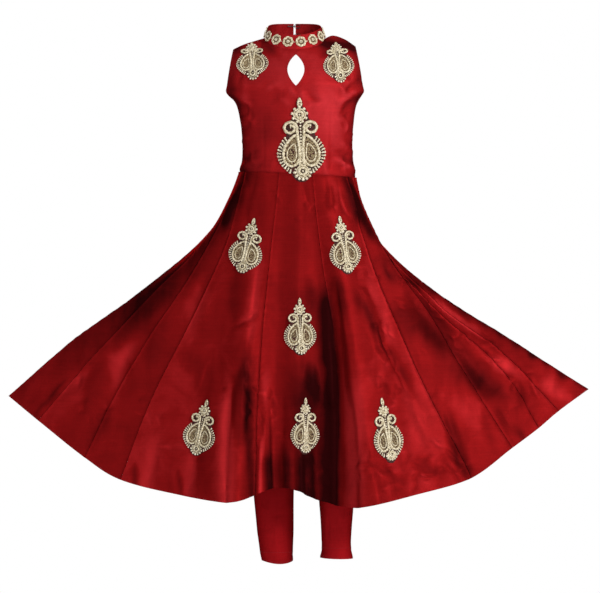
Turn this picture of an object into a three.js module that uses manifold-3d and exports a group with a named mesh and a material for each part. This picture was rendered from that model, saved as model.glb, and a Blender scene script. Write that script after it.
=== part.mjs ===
// Girl's sleeveless panelled kurta with churidar trousers, as separate cloth walls kept in their worn shape.
// Millimetres, +Z up, +X to the wearer's left, -Y is the front. The origin is between the shoulders.
import * as THREE from "three";
import Module from "manifold-3d";

const wasm = await Module();
wasm.setup();

// ---------------------------------------------------------------- driving dimensions
const CLOTH_WALL = 1.6;
const LEG_WALL = 1.5;
const COLLAR_WALL = 2.4;
const SEAM_GAP = 0.15;
const WAIST_GAP = 0.3;
const SIDE_GAP = 0.3;
// Drop-shaped opening in the middle of the back, from the neck line down to the centre-back seam.
const BACK_DROP = [
  { z: 14, half: 1.5 },
  { z: 4, half: 4 },
  { z: -10, half: 12 },
  { z: -28, half: 19 },
  { z: -46, half: 21.5 },
  { z: -62, half: 19.5 },
  { z: -76, half: 13 },
  { z: -88, half: 5 },
  { z: -96, half: 0.15 },
];

// Waist seam: an oval that slants down a little to the right.
const WAIST = { centreX: 2, halfWidth: 104, front: 74, back: 66, middleZ: -234.5, slant: -0.05 };
const CHEST_SQUARENESS = 0.8;

// Bodice sections from the waist up to the underarm.
const BODICE_SECTIONS = [
  { z: -235, left: 102, right: 106, front: 74, back: 66 },
  { z: -212, left: 98, right: 103, front: 72, back: 62 },
  { z: -190, left: 97, right: 101, front: 73, back: 60 },
  { z: -165, left: 98, right: 101, front: 75, back: 60 },
  { z: -140, left: 101, right: 103, front: 77, back: 61 },
  { z: -107, left: 109, right: 108, front: 79, back: 63 },
  { z: -82, left: 126, right: 121, front: 79, back: 63 },
];
const UNDERARM_Z = -82;
const UNDERARM_ROW = 0.56;
// Above the underarm the cloth swells forwards and backwards round the body, least at the middle of the chest.
const ARMHOLE_FORWARD = 34;
const ARMHOLE_BACKWARD = 30;
const ARMHOLE_ROUNDNESS = 0.8;
const CHEST_MIDDLE_SHARE = 0.25;

// Shoulder seams, from the side of the neck to the shoulder tip.
const SHOULDER = [
  { part: 0, leftX: -58.5, leftZ: 12, rightX: 51.5, rightZ: 12 },
  { part: 0.33, leftX: -76, leftZ: 7, rightX: 66, rightZ: 17 },
  { part: 0.67, leftX: -95, leftZ: 1, rightX: 87, rightZ: 10 },
  { part: 1, leftX: -114, leftZ: -8, rightX: 106, rightZ: -3 },
];
const NECK_PART = 0.5;

// Neck line and the collar that stands on it.
const NECK = { centreX: -3.5, halfWidth: 55, front: 52, back: 50, sideZ: 12, frontZ: -11.5, backZ: 14 };
const COLLAR = { topHalfWidth: 48, topDepth: 46, frontTopZ: 15, sideTopZ: 33.5, backTopZ: 42 };
const COLLAR_LIFT = 0.3;
const COLLAR_END_GAP = 1.9;

// Leaf-shaped opening under the collar. Shift moves its widest place along it, fullness rounds its sides.
const KEYHOLE = { centreX: -1, topZ: -21.6, bottomZ: -77.8, halfWidth: 15, shift: 0.95, fullness: 0.85 };
const KEYHOLE_ROWS = 9;
const KEYHOLE_CUT_DEPTH = 90;

// Lines down the front of the skirt from the waist to the hem, left to right. The three out columns tell how
// much of the way out the line has gone at a quarter, a half and three quarters of its drop.
const FRONT_LINES = [
  { name: "left side", angle: -90, hemX: -518, hemY: 0, hemZ: -632, out1: 0.115, out2: 0.385, out3: 0.72 },
  { name: "left seam C-D", angle: -83, hemX: -463, hemY: -26, hemZ: -675, out1: 0.15, out2: 0.44, out3: 0.735 },
  { name: "left seam B-C", angle: -74, hemX: -377, hemY: -60, hemZ: -740, out1: 0.2, out2: 0.49, out3: 0.775 },
  { name: "left seam A-B", angle: -62, hemX: -312, hemY: -86, hemZ: -778, out1: 0.17, out2: 0.46, out3: 0.765 },
  { name: "left valley", angle: -44, hemX: -208, hemY: -112, hemZ: -803, out1: 0.22, out2: 0.5, out3: 0.78 },
  { name: "left ridge", angle: -31, hemX: -120, hemY: -172, hemZ: -813, out1: 0.3, out2: 0.6, out3: 0.85 },
  { name: "left centre seam", angle: -18.5, hemX: -73.7, hemY: -150, hemZ: -802, out1: 0.36, out2: 0.7, out3: 0.91 },
  { name: "centre valley", angle: -9, hemX: -39, hemY: -126, hemZ: -790, out1: 0.36, out2: 0.72, out3: 0.92 },
  { name: "centre ridge", angle: 0, hemX: -3, hemY: -140, hemZ: -793, out1: 0.3, out2: 0.6, out3: 0.85 },
  { name: "centre fold", angle: 6, hemX: 21.5, hemY: -128, hemZ: -805, out1: 0.36, out2: 0.8, out3: 0.95 },
  { name: "right centre seam", angle: 14.5, hemX: 73, hemY: -112, hemZ: -822, out1: 0.36, out2: 0.88, out3: 0.98 },
  { name: "right ridge", angle: 27, hemX: 118, hemY: -178, hemZ: -821, out1: 0.3, out2: 0.66, out3: 0.88 },
  { name: "right fold", angle: 42, hemX: 208, hemY: -140, hemZ: -802, out1: 0.2, out2: 0.48, out3: 0.76 },
  { name: "right seam A-B", angle: 57, hemX: 309, hemY: -92, hemZ: -775, out1: 0.165, out2: 0.41, out3: 0.69 },
  { name: "right seam B-C", angle: 70, hemX: 384, hemY: -60, hemZ: -723, out1: 0.18, out2: 0.46, out3: 0.73 },
  { name: "right seam C-D", angle: 78, hemX: 433, hemY: -40, hemZ: -688, out1: 0.12, out2: 0.39, out3: 0.78 },
  { name: "right seam D-E", angle: 84, hemX: 470, hemY: -25, hemZ: -658, out1: 0.09, out2: 0.35, out3: 0.72 },
  { name: "right side", angle: 90, hemX: 525, hemY: 0, hemZ: -620, out1: 0.068, out2: 0.295, out3: 0.645 },
];

// The same for the plain back, right to left. Angles go on round the waist from the right side.
const BACK_LINES = [
  { name: "right side", angle: 90, hemX: 525, hemY: 0, hemZ: -620, out1: 0.068, out2: 0.295, out3: 0.645 },
  { name: "back seam 1", angle: 120, hemX: 375, hemY: 62, hemZ: -715, out1: 0.17, out2: 0.44, out3: 0.74 },
  { name: "back seam 2", angle: 150, hemX: 190, hemY: 118, hemZ: -778, out1: 0.22, out2: 0.49, out3: 0.77 },
  { name: "back seam 3", angle: 180, hemX: 0, hemY: 148, hemZ: -785, out1: 0.25, out2: 0.5, out3: 0.78 },
  { name: "back seam 4", angle: 210, hemX: -190, hemY: 118, hemZ: -778, out1: 0.22, out2: 0.49, out3: 0.77 },
  { name: "back seam 5", angle: 240, hemX: -370, hemY: 62, hemZ: -722, out1: 0.18, out2: 0.46, out3: 0.76 },
  { name: "left side", angle: 270, hemX: -518, hemY: 0, hemZ: -632, out1: 0.115, out2: 0.385, out3: 0.72 },
];
// The hem goes forwards late in its drop, and the gathers melt early into the oval of the waist.
const FORWARD_POWER = 1.15;
const WAIST_MELT_POWER = 3;

// Skirt gores: first and last line of each, and how many strips it has across.
const FRONT_GORES = [
  { name: "gore_front_left_d", from: 0, to: 1, strips: 3 },
  { name: "gore_front_left_c", from: 1, to: 2, strips: 3 },
  { name: "gore_front_left_b", from: 2, to: 3, strips: 3 },
  { name: "gore_front_left_a", from: 3, to: 6, strips: 9 },
  { name: "gore_front_centre", from: 6, to: 10, strips: 8 },
  { name: "gore_front_right_a", from: 10, to: 13, strips: 9 },
  { name: "gore_front_right_b", from: 13, to: 14, strips: 3 },
  { name: "gore_front_right_c", from: 14, to: 15, strips: 3 },
  { name: "gore_front_right_d", from: 15, to: 16, strips: 3 },
  { name: "gore_front_right_e", from: 16, to: 17, strips: 3 },
];
const BACK_GORES = [
  { name: "gore_back_right_c", from: 0, to: 1, strips: 5 },
  { name: "gore_back_right_b", from: 1, to: 2, strips: 5 },
  { name: "gore_back_right_a", from: 2, to: 3, strips: 5 },
  { name: "gore_back_left_a", from: 3, to: 4, strips: 5 },
  { name: "gore_back_left_b", from: 4, to: 5, strips: 5 },
  { name: "gore_back_left_c", from: 5, to: 6, strips: 5 },
];
const FRONT_GORE_ROWS = 14;
const BACK_GORE_ROWS = 12;

// Churidar legs, from the ankle hem up to the fork, as round sections.
const LEFT_LEG = [
  { z: -930, x: -34.5, y: 4, wide: 28, deep: 29 },
  { z: -916, x: -36, y: 4, wide: 29.5, deep: 31 },
  { z: -876, x: -38, y: 5, wide: 33, deep: 35 },
  { z: -811, x: -41, y: 7, wide: 36, deep: 39 },
  { z: -740, x: -43, y: 7, wide: 40, deep: 43 },
  { z: -640, x: -47, y: 4, wide: 43, deep: 46 },
  { z: -530, x: -53, y: 2, wide: 52, deep: 55 },
  { z: -425, x: -54.8, y: 0, wide: 56.6, deep: 64 },
];
const RIGHT_LEG = [
  { z: -922, x: 72, y: 2, wide: 29.5, deep: 30 },
  { z: -911, x: 72, y: 2, wide: 27, deep: 29 },
  { z: -890, x: 71.5, y: 3, wide: 26.5, deep: 30 },
  { z: -827, x: 72, y: 6, wide: 31, deep: 35 },
  { z: -740, x: 70, y: 6, wide: 37, deep: 41 },
  { z: -640, x: 65, y: 4, wide: 43, deep: 46 },
  { z: -530, x: 60, y: 2, wide: 52, deep: 55 },
  { z: -425, x: 58.8, y: 0, wide: 56.6, deep: 64 },
];
const SEAT_CENTRE_X = 2;
const FORK_Z = -425;
// Part of a leg's rows that lies below the fork, and the heights over which its round turns into the seat.
const FORK_ROW = 0.72;
const SEAT_BLEND = 80;
const SEAT_MEET = 60;
const SEAT = [
  { z: -425, wide: 113, front: 70, back: 68 },
  { z: -350, wide: 109, front: 75, back: 71 },
  { z: -297, wide: 103, front: 72, back: 66 },
  { z: -262, wide: 101.6, front: 71.6, back: 63.6 },
];
const SEAT_TOP_Z = -262;
const WAISTBAND = { height: 22, wall: 2, lift: 0.3, clearance: 0.4, strips: 36 };
const LEG_STRIPS = 20;
const LEG_ROWS = 15;

// Motif patches: the panels each lies on, its middle, size and lean, how much of its length the drop takes below
// the crown, and how far it stands off the cloth.
const MOTIFS = [
  { name: "motif_bodice_centre", on: "bodice", x: 7.8, z: -173.7, long: 149, wide: 85, lean: -2, drop: 0.6, lift: 0.6 },
  { name: "motif_shoulder_left", on: "bodice", x: -78.5, z: -31, long: 66, wide: 57, lean: -2, drop: 0.72, lift: 1.1 },
  { name: "motif_shoulder_right", on: "bodice", x: 74.1, z: -34, long: 72, wide: 55, lean: -5.9, drop: 0.72, lift: 1.6 },
  { name: "motif_skirt_upper_left", on: "skirt", x: -86.1, z: -362.2, long: 100.7, wide: 60, lean: 14.3, drop: 0.6, lift: 0.7 },
  { name: "motif_skirt_upper_right", on: "skirt", x: 83.8, z: -361.3, long: 104, wide: 54, lean: -9.3, drop: 0.6, lift: 0.7 },
  { name: "motif_skirt_upper_centre", on: "skirt", x: 6.3, z: -505.8, long: 101, wide: 56, lean: -1.3, drop: 0.6, lift: 0.7 },
  { name: "motif_skirt_lower_left", on: "skirt", x: -167.7, z: -684.3, long: 100, wide: 58, lean: 13, drop: 0.6, lift: 1 },
  { name: "motif_skirt_lower_centre", on: "skirt", x: 15.3, z: -681, long: 99, wide: 50, lean: 0.3, drop: 0.6, lift: 0.7 },
  { name: "motif_skirt_lower_right", on: "skirt", x: 158.3, z: -687.9, long: 114, wide: 52, lean: -9.4, drop: 0.6, lift: 0.7 },
];
const MOTIF_WALL = 1.1;
// Where the drop ends on the outline below, before it is drawn out or pressed together to each motif's own share.
const OUTLINE_DROP = 0.6;
const MOTIF_RELIEF = 0.9;
const MOTIF_ROWS = 14;
// Strips across a motif, and how much of the relief each carries: two swollen halves with a dip between.
const MOTIF_STRIPS = [
  { across: -1, raised: 0.35 },
  { across: -0.55, raised: 1 },
  { across: 0, raised: 0.55 },
  { across: 0.55, raised: 1 },
  { across: 1, raised: 0.35 },
];
// Half width of a motif along its length, from the bottom rosette to the tip, as a part of the full half width.
const MOTIF_OUTLINE = [
  { part: 0, half: 0.1 },
  { part: 0.05, half: 0.3 },
  { part: 0.12, half: 0.5 },
  { part: 0.24, half: 0.88 },
  { part: 0.36, half: 1 },
  { part: 0.48, half: 0.93 },
  { part: 0.58, half: 0.7 },
  { part: 0.66, half: 0.74 },
  { part: 0.75, half: 0.6 },
  { part: 0.84, half: 0.32 },
  { part: 0.92, half: 0.16 },
  { part: 1, half: 0.05 },
];

// Lace flowers round the collar.
const FLOWER = { count: 14, radius: 9.4, notch: 8, ringRadius: 4.6, points: 12 };
// Heights of a flower off the collar: its underside, then its rim, ring and middle above that.
const FLOWER_HEIGHTS = { lift: 0.7, rim: 0.9, ring: 1.7, top: 2.3 };

// Hooks and eyes that close the collar at the back, and their heights as parts of the collar's.
const CLOSURES = [
  { place: "lower", height: 0.22 },
  { place: "upper", height: 0.82 },
];
const HOOK_WIRE = 0.7;
const EYE_WIRE = 0.5;
const WIRE_SIDES = 6;
// Hook: side points x, lift off the cloth. It bends back on itself over the bar of the eye.
const HOOK_PATH = [
  { x: -14, off: 1.3 },
  { x: -8, off: 1.1 },
  { x: -1, off: 1.1 },
  { x: 1.4, off: 1.5 },
  { x: 2.4, off: 2.7 },
  { x: 1.4, off: 4 },
  { x: -1.6, off: 4.4 },
];
// Eye: side points x, rise above the middle and lift off the cloth, one half of the loop.
const EYE_PATH = [
  { x: 11, rise: 1.4, off: 1 },
  { x: 10, rise: 2.6, off: 1 },
  { x: 6, rise: 3, off: 1.1 },
  { x: 2, rise: 2.8, off: 2 },
  { x: 0.6, rise: 2.4, off: 2.7 },
  { x: 0.1, rise: 1.2, off: 2.7 },
];

// How finely the surfaces are divided, and the colours of the plain model.
const FRONT_BODICE_STRIPS = 16;
const BACK_BODICE_STRIPS = 8;
const BODICE_ROWS = steps(0, UNDERARM_ROW, 7).concat(steps(UNDERARM_ROW, 1, 7).slice(1));
const BACK_BODICE_ROWS = steps(0, UNDERARM_ROW, 7).concat(steps(UNDERARM_ROW, 1, 10).slice(1));
const COLLAR_STRIPS = 36;
const COLLAR_HEIGHTS = [0, 0.5, 0.92, 1];
const COLLAR_EDGE_ROUND = 0.5;
const CRIMSON = 0x9c1c24;
const CREAM = 0xd9c69a;
const STEEL = 0x3a3a3c;

const DEGREE = Math.PI / 180;
const QUARTER_TURN = 90;
// Small numbers: the step that measures a slope, what counts as nothing, and as on an edge or a plane.
const STEP = 1e-3;
const NOTHING = 1e-9;
const ON_PLANE = 1e-6;
const ON_EDGE = 1e-3;
// A mitred offset grows to twice the wall at most. A wire steeper than this takes another sideways direction.
const MITRE_LIMIT = 0.5;
const STEEP = 0.9;

// ---------------------------------------------------------------- small helpers
function mix(a, b, t) {
  return a + (b - a) * t;
}

function clamp01(t) {
  return Math.min(1, Math.max(0, t));
}

function smooth(t) {
  const c = clamp01(t);
  return c * c * (3 - 2 * c);
}

// Smooth curve through four neighbouring values, t runs from the second to the third.
function through(p0, p1, p2, p3, t) {
  const a = 2 * p1;
  const b = p2 - p0;
  const c = 2 * p0 - 5 * p1 + 4 * p2 - p3;
  const d = -p0 + 3 * p1 - 3 * p2 + p3;
  return 0.5 * (a + b * t + c * t * t + d * t * t * t);
}

// Value of a column at a key, along rows sorted by that key either way.
function lookUp(rows, key, column, at) {
  const rising = rows[rows.length - 1][key] > rows[0][key];
  let i = 0;
  while (i < rows.length - 2 && (rising ? at > rows[i + 1][key] : at < rows[i + 1][key])) {
    i += 1;
  }
  const t = clamp01((at - rows[i][key]) / (rows[i + 1][key] - rows[i][key]));
  const before = rows[Math.max(0, i - 1)][column];
  const after = rows[Math.min(rows.length - 1, i + 2)][column];
  return through(before, rows[i][column], rows[i + 1][column], after, t);
}

function signedPower(value, power) {
  return Math.sign(value) * Math.abs(value) ** power;
}

// Outward normal of a surface from small steps along it, one-sided at the ends of its range.
function surfaceNormal(surface, u, v, range) {
  const u0 = Math.max(range.u0, u - STEP);
  const u1 = Math.min(range.u1, u + STEP);
  const v0 = Math.max(range.v0, v - STEP);
  const v1 = Math.min(range.v1, v + STEP);
  const across = surface(u1, v).sub(surface(u0, v));
  const along = surface(u, v1).sub(surface(u, v0));
  return across.cross(along).normalize();
}

// Wall offset at a point. Points in the plane y = 0 are joins of front and back, so their offset stays in it.
function wallOffset(point, normal) {
  if (Math.abs(point.y) > ON_PLANE) {
    return normal;
  }
  const flat = new THREE.Vector3(normal.x, 0, normal.z).normalize();
  return flat.divideScalar(Math.max(MITRE_LIMIT, flat.dot(normal)));
}

// Moves the edge points of a grid towards their neighbours, to leave the seam gap.
function trimEdges(grid, trims) {
  const rows = grid.length;
  const columns = grid[0].length;
  const pull = (row, column, nextRow, nextColumn, by) => {
    const point = grid[row][column];
    const next = grid[nextRow][nextColumn];
    const way = next.outer.clone().sub(point.outer).normalize().multiplyScalar(by);
    point.outer = point.outer.clone().add(way);
    point.inner = point.inner.clone().add(way);
  };
  for (let r = 0; r < rows; r += 1) {
    pull(r, 0, r, 1, trims.first);
    pull(r, columns - 1, r, columns - 2, trims.last);
  }
  for (let c = 0; c < columns; c += 1) {
    pull(0, c, 1, c, trims.bottom);
    pull(rows - 1, c, rows - 2, c, trims.top);
  }
}

// Grid of outer and inner wall points over part of a surface.
function wallGrid(surface, us, vs, range, wall) {
  return vs.map((v) =>
    us.map((u) => {
      const outer = surface(u, v);
      const normal = surfaceNormal(surface, u, v, range);
      const offset = wallOffset(outer, normal);
      return { outer, inner: outer.clone().addScaledVector(offset, -wall), normal };
    }),
  );
}

function steps(from, to, count) {
  return Array.from({ length: count + 1 }, (_, i) => mix(from, to, i / count));
}

function signedVolume(positions, index) {
  let sum = 0;
  for (let i = 0; i < index.length; i += 3) {
    const a = positions[index[i]];
    const b = positions[index[i + 1]];
    const c = positions[index[i + 2]];
    sum += a.dot(b.clone().cross(c)) / 6;
  }
  return sum;
}

// Indexed closed geometry, turned so that its faces point outwards.
function closedGeometry(positions, index) {
  const faces = signedVolume(positions, index) > 0 ? index : index.slice().reverse();
  const geometry = new THREE.BufferGeometry();
  geometry.setAttribute("position", new THREE.Float32BufferAttribute(positions.flatMap((p) => p.toArray()), 3));
  geometry.setIndex(faces);
  geometry.computeVertexNormals();
  return geometry;
}

// Closed solid from a grid: outer face, inner face and rim. A round grid joins its last column to its first.
function solidFromGrid(grid, isRound = false) {
  const rows = grid.length;
  const columns = grid[0].length;
  const positions = [];
  for (const row of grid) {
    for (const point of row) {
      positions.push(point.outer);
      positions.push(point.inner);
    }
  }
  const outer = (r, c) => 2 * (r * columns + (c % columns));
  const inner = (r, c) => outer(r, c) + 1;
  const index = [];
  const quad = (a, b, c, d) => index.push(a, b, c, a, c, d);
  const lastColumn = isRound ? columns : columns - 1;
  for (let r = 0; r < rows - 1; r += 1) {
    for (let c = 0; c < lastColumn; c += 1) {
      quad(outer(r, c), outer(r, c + 1), outer(r + 1, c + 1), outer(r + 1, c));
      quad(inner(r, c), inner(r + 1, c), inner(r + 1, c + 1), inner(r, c + 1));
    }
    if (!isRound) {
      quad(outer(r, 0), outer(r + 1, 0), inner(r + 1, 0), inner(r, 0));
      quad(outer(r, lastColumn), inner(r, lastColumn), inner(r + 1, lastColumn), outer(r + 1, lastColumn));
    }
  }
  for (let c = 0; c < lastColumn; c += 1) {
    quad(outer(0, c), inner(0, c), inner(0, c + 1), outer(0, c + 1));
    quad(outer(rows - 1, c), outer(rows - 1, c + 1), inner(rows - 1, c + 1), inner(rows - 1, c));
  }
  return closedGeometry(positions, index);
}

// ---------------------------------------------------------------- bodice
function waistPoint(angle) {
  const cosine = Math.cos(angle * DEGREE);
  const depth = cosine > 0 ? WAIST.front : WAIST.back;
  const x = WAIST.centreX + WAIST.halfWidth * Math.sin(angle * DEGREE);
  const y = Math.abs(cosine) < NOTHING ? 0 : -depth * signedPower(cosine, CHEST_SQUARENESS);
  return new THREE.Vector3(x, y, WAIST.middleZ + WAIST.slant * x);
}

function bodiceSection(u, z, isFront) {
  const left = lookUp(BODICE_SECTIONS, "z", "left", z);
  const right = lookUp(BODICE_SECTIONS, "z", "right", z);
  const depth = lookUp(BODICE_SECTIONS, "z", isFront ? "front" : "back", z);
  const sine = Math.sin(u * QUARTER_TURN * DEGREE);
  const cosine = Math.abs(u) >= 1 ? 0 : Math.cos(u * QUARTER_TURN * DEGREE);
  const x = (right - left) / 2 + ((right + left) / 2) * sine;
  return new THREE.Vector3(x, (isFront ? -1 : 1) * depth * cosine ** CHEST_SQUARENESS, z);
}

function neckPlaneZ(y) {
  const edgeZ = y < 0 ? NECK.frontZ : NECK.backZ;
  const reach = y < 0 ? NECK.front : NECK.back;
  return mix(NECK.sideZ, edgeZ, Math.abs(y) / reach);
}

// Upper edge of the bodice: the neck line in the middle, the shoulder seams at the sides.
function bodiceTop(u, isFront) {
  const side = Math.sign(u) || 1;
  const part = Math.abs(u);
  if (part < NECK_PART) {
    const angle = (u / NECK_PART) * QUARTER_TURN * DEGREE;
    const y = (isFront ? -NECK.front : NECK.back) * Math.cos(angle);
    return new THREE.Vector3(NECK.centreX + NECK.halfWidth * Math.sin(angle), y, neckPlaneZ(y));
  }
  const along = (part - NECK_PART) / (1 - NECK_PART);
  const x = lookUp(SHOULDER, "part", side < 0 ? "leftX" : "rightX", along);
  const z = lookUp(SHOULDER, "part", side < 0 ? "leftZ" : "rightZ", along);
  return new THREE.Vector3(x, 0, z);
}

function bodicePoint(u, v, isFront) {
  if (v <= UNDERARM_ROW) {
    const part = v / UNDERARM_ROW;
    const nominal = bodiceSection(u, mix(WAIST.middleZ, UNDERARM_Z, part), isFront);
    nominal.z = mix(WAIST.middleZ + WAIST.slant * nominal.x, UNDERARM_Z, part);
    return nominal;
  }
  const part = (v - UNDERARM_ROW) / (1 - UNDERARM_ROW);
  const from = bodiceSection(u, UNDERARM_Z, isFront);
  const to = bodiceTop(u, isFront);
  const reach = isFront ? -ARMHOLE_FORWARD : ARMHOLE_BACKWARD;
  const bulge = reach * mix(CHEST_MIDDLE_SHARE, 1, u * u) * (4 * part * (1 - part)) ** ARMHOLE_ROUNDNESS;
  return from.lerp(to, part).add(new THREE.Vector3(0, bulge, 0));
}

function frontBodicePoint(u, v) {
  return bodicePoint(u, v, true);
}

function backBodicePoint(u, v) {
  return bodicePoint(-u, v, false);
}

function frontBodiceGrid() {
  const range = { u0: -1, u1: 1, v0: 0, v1: 1 };
  const grid = wallGrid(frontBodicePoint, steps(-1, 1, FRONT_BODICE_STRIPS), BODICE_ROWS, range, CLOTH_WALL);
  trimEdges(grid, { first: SIDE_GAP, last: SIDE_GAP, bottom: WAIST_GAP, top: SEAM_GAP });
  return grid;
}

// Cuts the leaf-shaped opening through the front.
function cutKeyhole(geometry) {
  const sides = [];
  for (let i = 0; i <= KEYHOLE_ROWS; i += 1) {
    const part = i / KEYHOLE_ROWS;
    const half = KEYHOLE.halfWidth * Math.sin(Math.PI * part ** KEYHOLE.shift) ** KEYHOLE.fullness;
    sides.push({ z: mix(KEYHOLE.topZ, KEYHOLE.bottomZ, part), half });
  }
  const outline = sides.map((s) => [KEYHOLE.centreX + s.half, s.z]);
  for (const s of sides.slice(1, -1).reverse()) {
    outline.push([KEYHOLE.centreX - s.half, s.z]);
  }
  const leaf = wasm.Manifold.extrude(new wasm.CrossSection([outline], "NonZero"), KEYHOLE_CUT_DEPTH);
  const standing = leaf.rotate([QUARTER_TURN, 0, 0]);
  const mesh = new wasm.Mesh({
    numProp: 3,
    vertProperties: new Float32Array(geometry.attributes.position.array),
    triVerts: new Uint32Array(geometry.index.array),
  });
  const cut = new wasm.Manifold(mesh).subtract(standing).getMesh();
  const positions = [];
  for (let i = 0; i < cut.vertProperties.length; i += cut.numProp) {
    const [x, y, z] = cut.vertProperties.slice(i, i + 3);
    positions.push(new THREE.Vector3(x, y, z));
  }
  return closedGeometry(positions, Array.from(cut.triVerts));
}

// How far the centre edge of a back panel stands from the middle line, as a part of the panel's width.
function backEdge(v) {
  const middle = backBodicePoint(0, v);
  const half = middle.z < BACK_DROP[BACK_DROP.length - 1].z ? SEAM_GAP : lookUp(BACK_DROP, "z", "half", middle.z);
  const beside = backBodicePoint(STEP, v);
  return (Math.max(half, SEAM_GAP) * STEP) / beside.distanceTo(middle);
}

function backBodiceGeometry(side) {
  const panelPoint = (t, v) => backBodicePoint(-side * mix(backEdge(v), 1, side < 0 ? t : 1 - t), v);
  const range = { u0: 0, u1: 1, v0: 0, v1: 1 };
  const rows = BACK_BODICE_ROWS;
  const grid = wallGrid(panelPoint, steps(0, 1, BACK_BODICE_STRIPS), rows, range, CLOTH_WALL);
  // The centre edge already stands clear of the middle.
  const first = side < 0 ? 0 : SIDE_GAP;
  const last = side < 0 ? SIDE_GAP : 0;
  trimEdges(grid, { first, last, bottom: WAIST_GAP, top: SEAM_GAP });
  return solidFromGrid(grid);
}

// ---------------------------------------------------------------- collar, its lace flowers and closures
// Angle 0 is the front of the neck, 90 the wearer's left side. Height runs from the neck line to the top edge.
function collarPoint(angle, height, inset = 0) {
  const sine = Math.sin(angle * DEGREE);
  const cosine = Math.cos(angle * DEGREE);
  const flatCosine = Math.abs(cosine) < NOTHING ? 0 : cosine;
  const baseDepth = flatCosine > 0 ? NECK.front : NECK.back;
  const wide = mix(NECK.halfWidth, COLLAR.topHalfWidth, height) - inset;
  const deep = mix(baseDepth, COLLAR.topDepth, height) - inset;
  const y = -deep * flatCosine;
  const bend = (COLLAR.frontTopZ + COLLAR.backTopZ) / 2 - COLLAR.sideTopZ;
  const tilt = (COLLAR.frontTopZ - COLLAR.backTopZ) / 2;
  const top = COLLAR.sideTopZ + tilt * flatCosine + bend * flatCosine * flatCosine;
  return new THREE.Vector3(NECK.centreX + wide * sine, y, mix(neckPlaneZ(y) + COLLAR_LIFT, top, height));
}

function collarGeometry() {
  const end = 180 - (COLLAR_END_GAP / NECK.back) / DEGREE;
  const angles = steps(-end, end, COLLAR_STRIPS);
  // The strips nearest the shoulder seams start exactly on them.
  angles.forEach((angle, i) => {
    if (Math.abs(Math.abs(angle) - QUARTER_TURN) < end / COLLAR_STRIPS) {
      angles[i] = Math.sign(angle) * QUARTER_TURN;
    }
  });
  const grid = COLLAR_HEIGHTS.map((height) =>
    angles.map((angle) => {
      const ease = height === 1 ? COLLAR_EDGE_ROUND : 0;
      return { outer: collarPoint(angle, height, ease), inner: collarPoint(angle, height, COLLAR_WALL - ease) };
    }),
  );
  return solidFromGrid(grid);
}

// Point lifted off the collar's outside, a and b are distances round it and up it from a centre. The collar's
// surface goes on past its edges for this, so that a flower may stand over them.
function onCollar(centreAngle, a, b, lift) {
  const reach = (NECK.halfWidth + COLLAR.topHalfWidth) / 2;
  const angle = centreAngle + a / reach / DEGREE;
  const low = collarPoint(angle, 0);
  const high = collarPoint(angle, 1);
  const height = 0.5 + b / low.distanceTo(high);
  const normal = surfaceNormal(collarPoint, angle, height, { u0: -180, u1: 180, v0: -1, v1: 2 });
  return collarPoint(angle, height).addScaledVector(normal, lift);
}

function flowerGeometry(centreAngle) {
  const positions = [];
  const put = (radius, turn, lift) => {
    const a = radius * Math.sin(turn);
    const b = radius * Math.cos(turn);
    positions.push(onCollar(centreAngle, a, b, FLOWER_HEIGHTS.lift + lift));
    return positions.length - 1;
  };
  const topCentre = put(0, 0, FLOWER_HEIGHTS.top);
  const underCentre = put(0, 0, 0);
  const ring = [];
  const rim = [];
  const under = [];
  for (let i = 0; i < FLOWER.points; i += 1) {
    const turn = (i / FLOWER.points) * 2 * Math.PI;
    const radius = i % 2 === 0 ? FLOWER.radius : FLOWER.notch;
    ring.push(put(FLOWER.ringRadius, turn, FLOWER_HEIGHTS.ring));
    rim.push(put(radius, turn, FLOWER_HEIGHTS.rim));
    under.push(put(radius, turn, 0));
  }
  const index = [];
  for (let i = 0; i < FLOWER.points; i += 1) {
    const j = (i + 1) % FLOWER.points;
    index.push(topCentre, ring[i], ring[j]);
    index.push(ring[i], rim[i], rim[j], ring[i], rim[j], ring[j]);
    index.push(rim[i], under[i], under[j], rim[i], under[j], rim[j]);
    index.push(underCentre, under[j], under[i]);
  }
  return closedGeometry(positions, index);
}

// Tube along a path of points, with flat ends.
function wireGeometry(path, radius) {
  const positions = [];
  const rings = path.map((point, i) => {
    const before = path[Math.max(0, i - 1)];
    const after = path[Math.min(path.length - 1, i + 1)];
    const way = after.clone().sub(before).normalize();
    const helper = Math.abs(way.z) < STEEP ? new THREE.Vector3(0, 0, 1) : new THREE.Vector3(0, 1, 0);
    const sideways = helper.clone().cross(way).normalize();
    const upward = way.clone().cross(sideways).normalize();
    return Array.from({ length: WIRE_SIDES }, (_, k) => {
      const turn = (k / WIRE_SIDES) * 2 * Math.PI;
      const ringPoint = point.clone();
      ringPoint.addScaledVector(sideways, radius * Math.cos(turn));
      ringPoint.addScaledVector(upward, radius * Math.sin(turn));
      positions.push(ringPoint);
      return positions.length - 1;
    });
  });
  const index = [];
  for (let i = 0; i < rings.length - 1; i += 1) {
    for (let k = 0; k < WIRE_SIDES; k += 1) {
      const n = (k + 1) % WIRE_SIDES;
      index.push(rings[i][k], rings[i][n], rings[i + 1][n], rings[i][k], rings[i + 1][n], rings[i + 1][k]);
    }
  }
  const last = rings.length - 1;
  for (let k = 1; k < WIRE_SIDES - 1; k += 1) {
    index.push(rings[0][0], rings[0][k + 1], rings[0][k]);
    index.push(rings[last][0], rings[last][k], rings[last][k + 1]);
  }
  return closedGeometry(positions, index);
}

// Point in front of the collar's inside at the back: x across, z up from the closure, off the cloth.
function insideCollar(x, rise, height, off) {
  const angle = 180 - x / NECK.back / DEGREE;
  const up = height + rise / (COLLAR.backTopZ - NECK.backZ);
  return collarPoint(angle, up, COLLAR_WALL + off);
}

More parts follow.
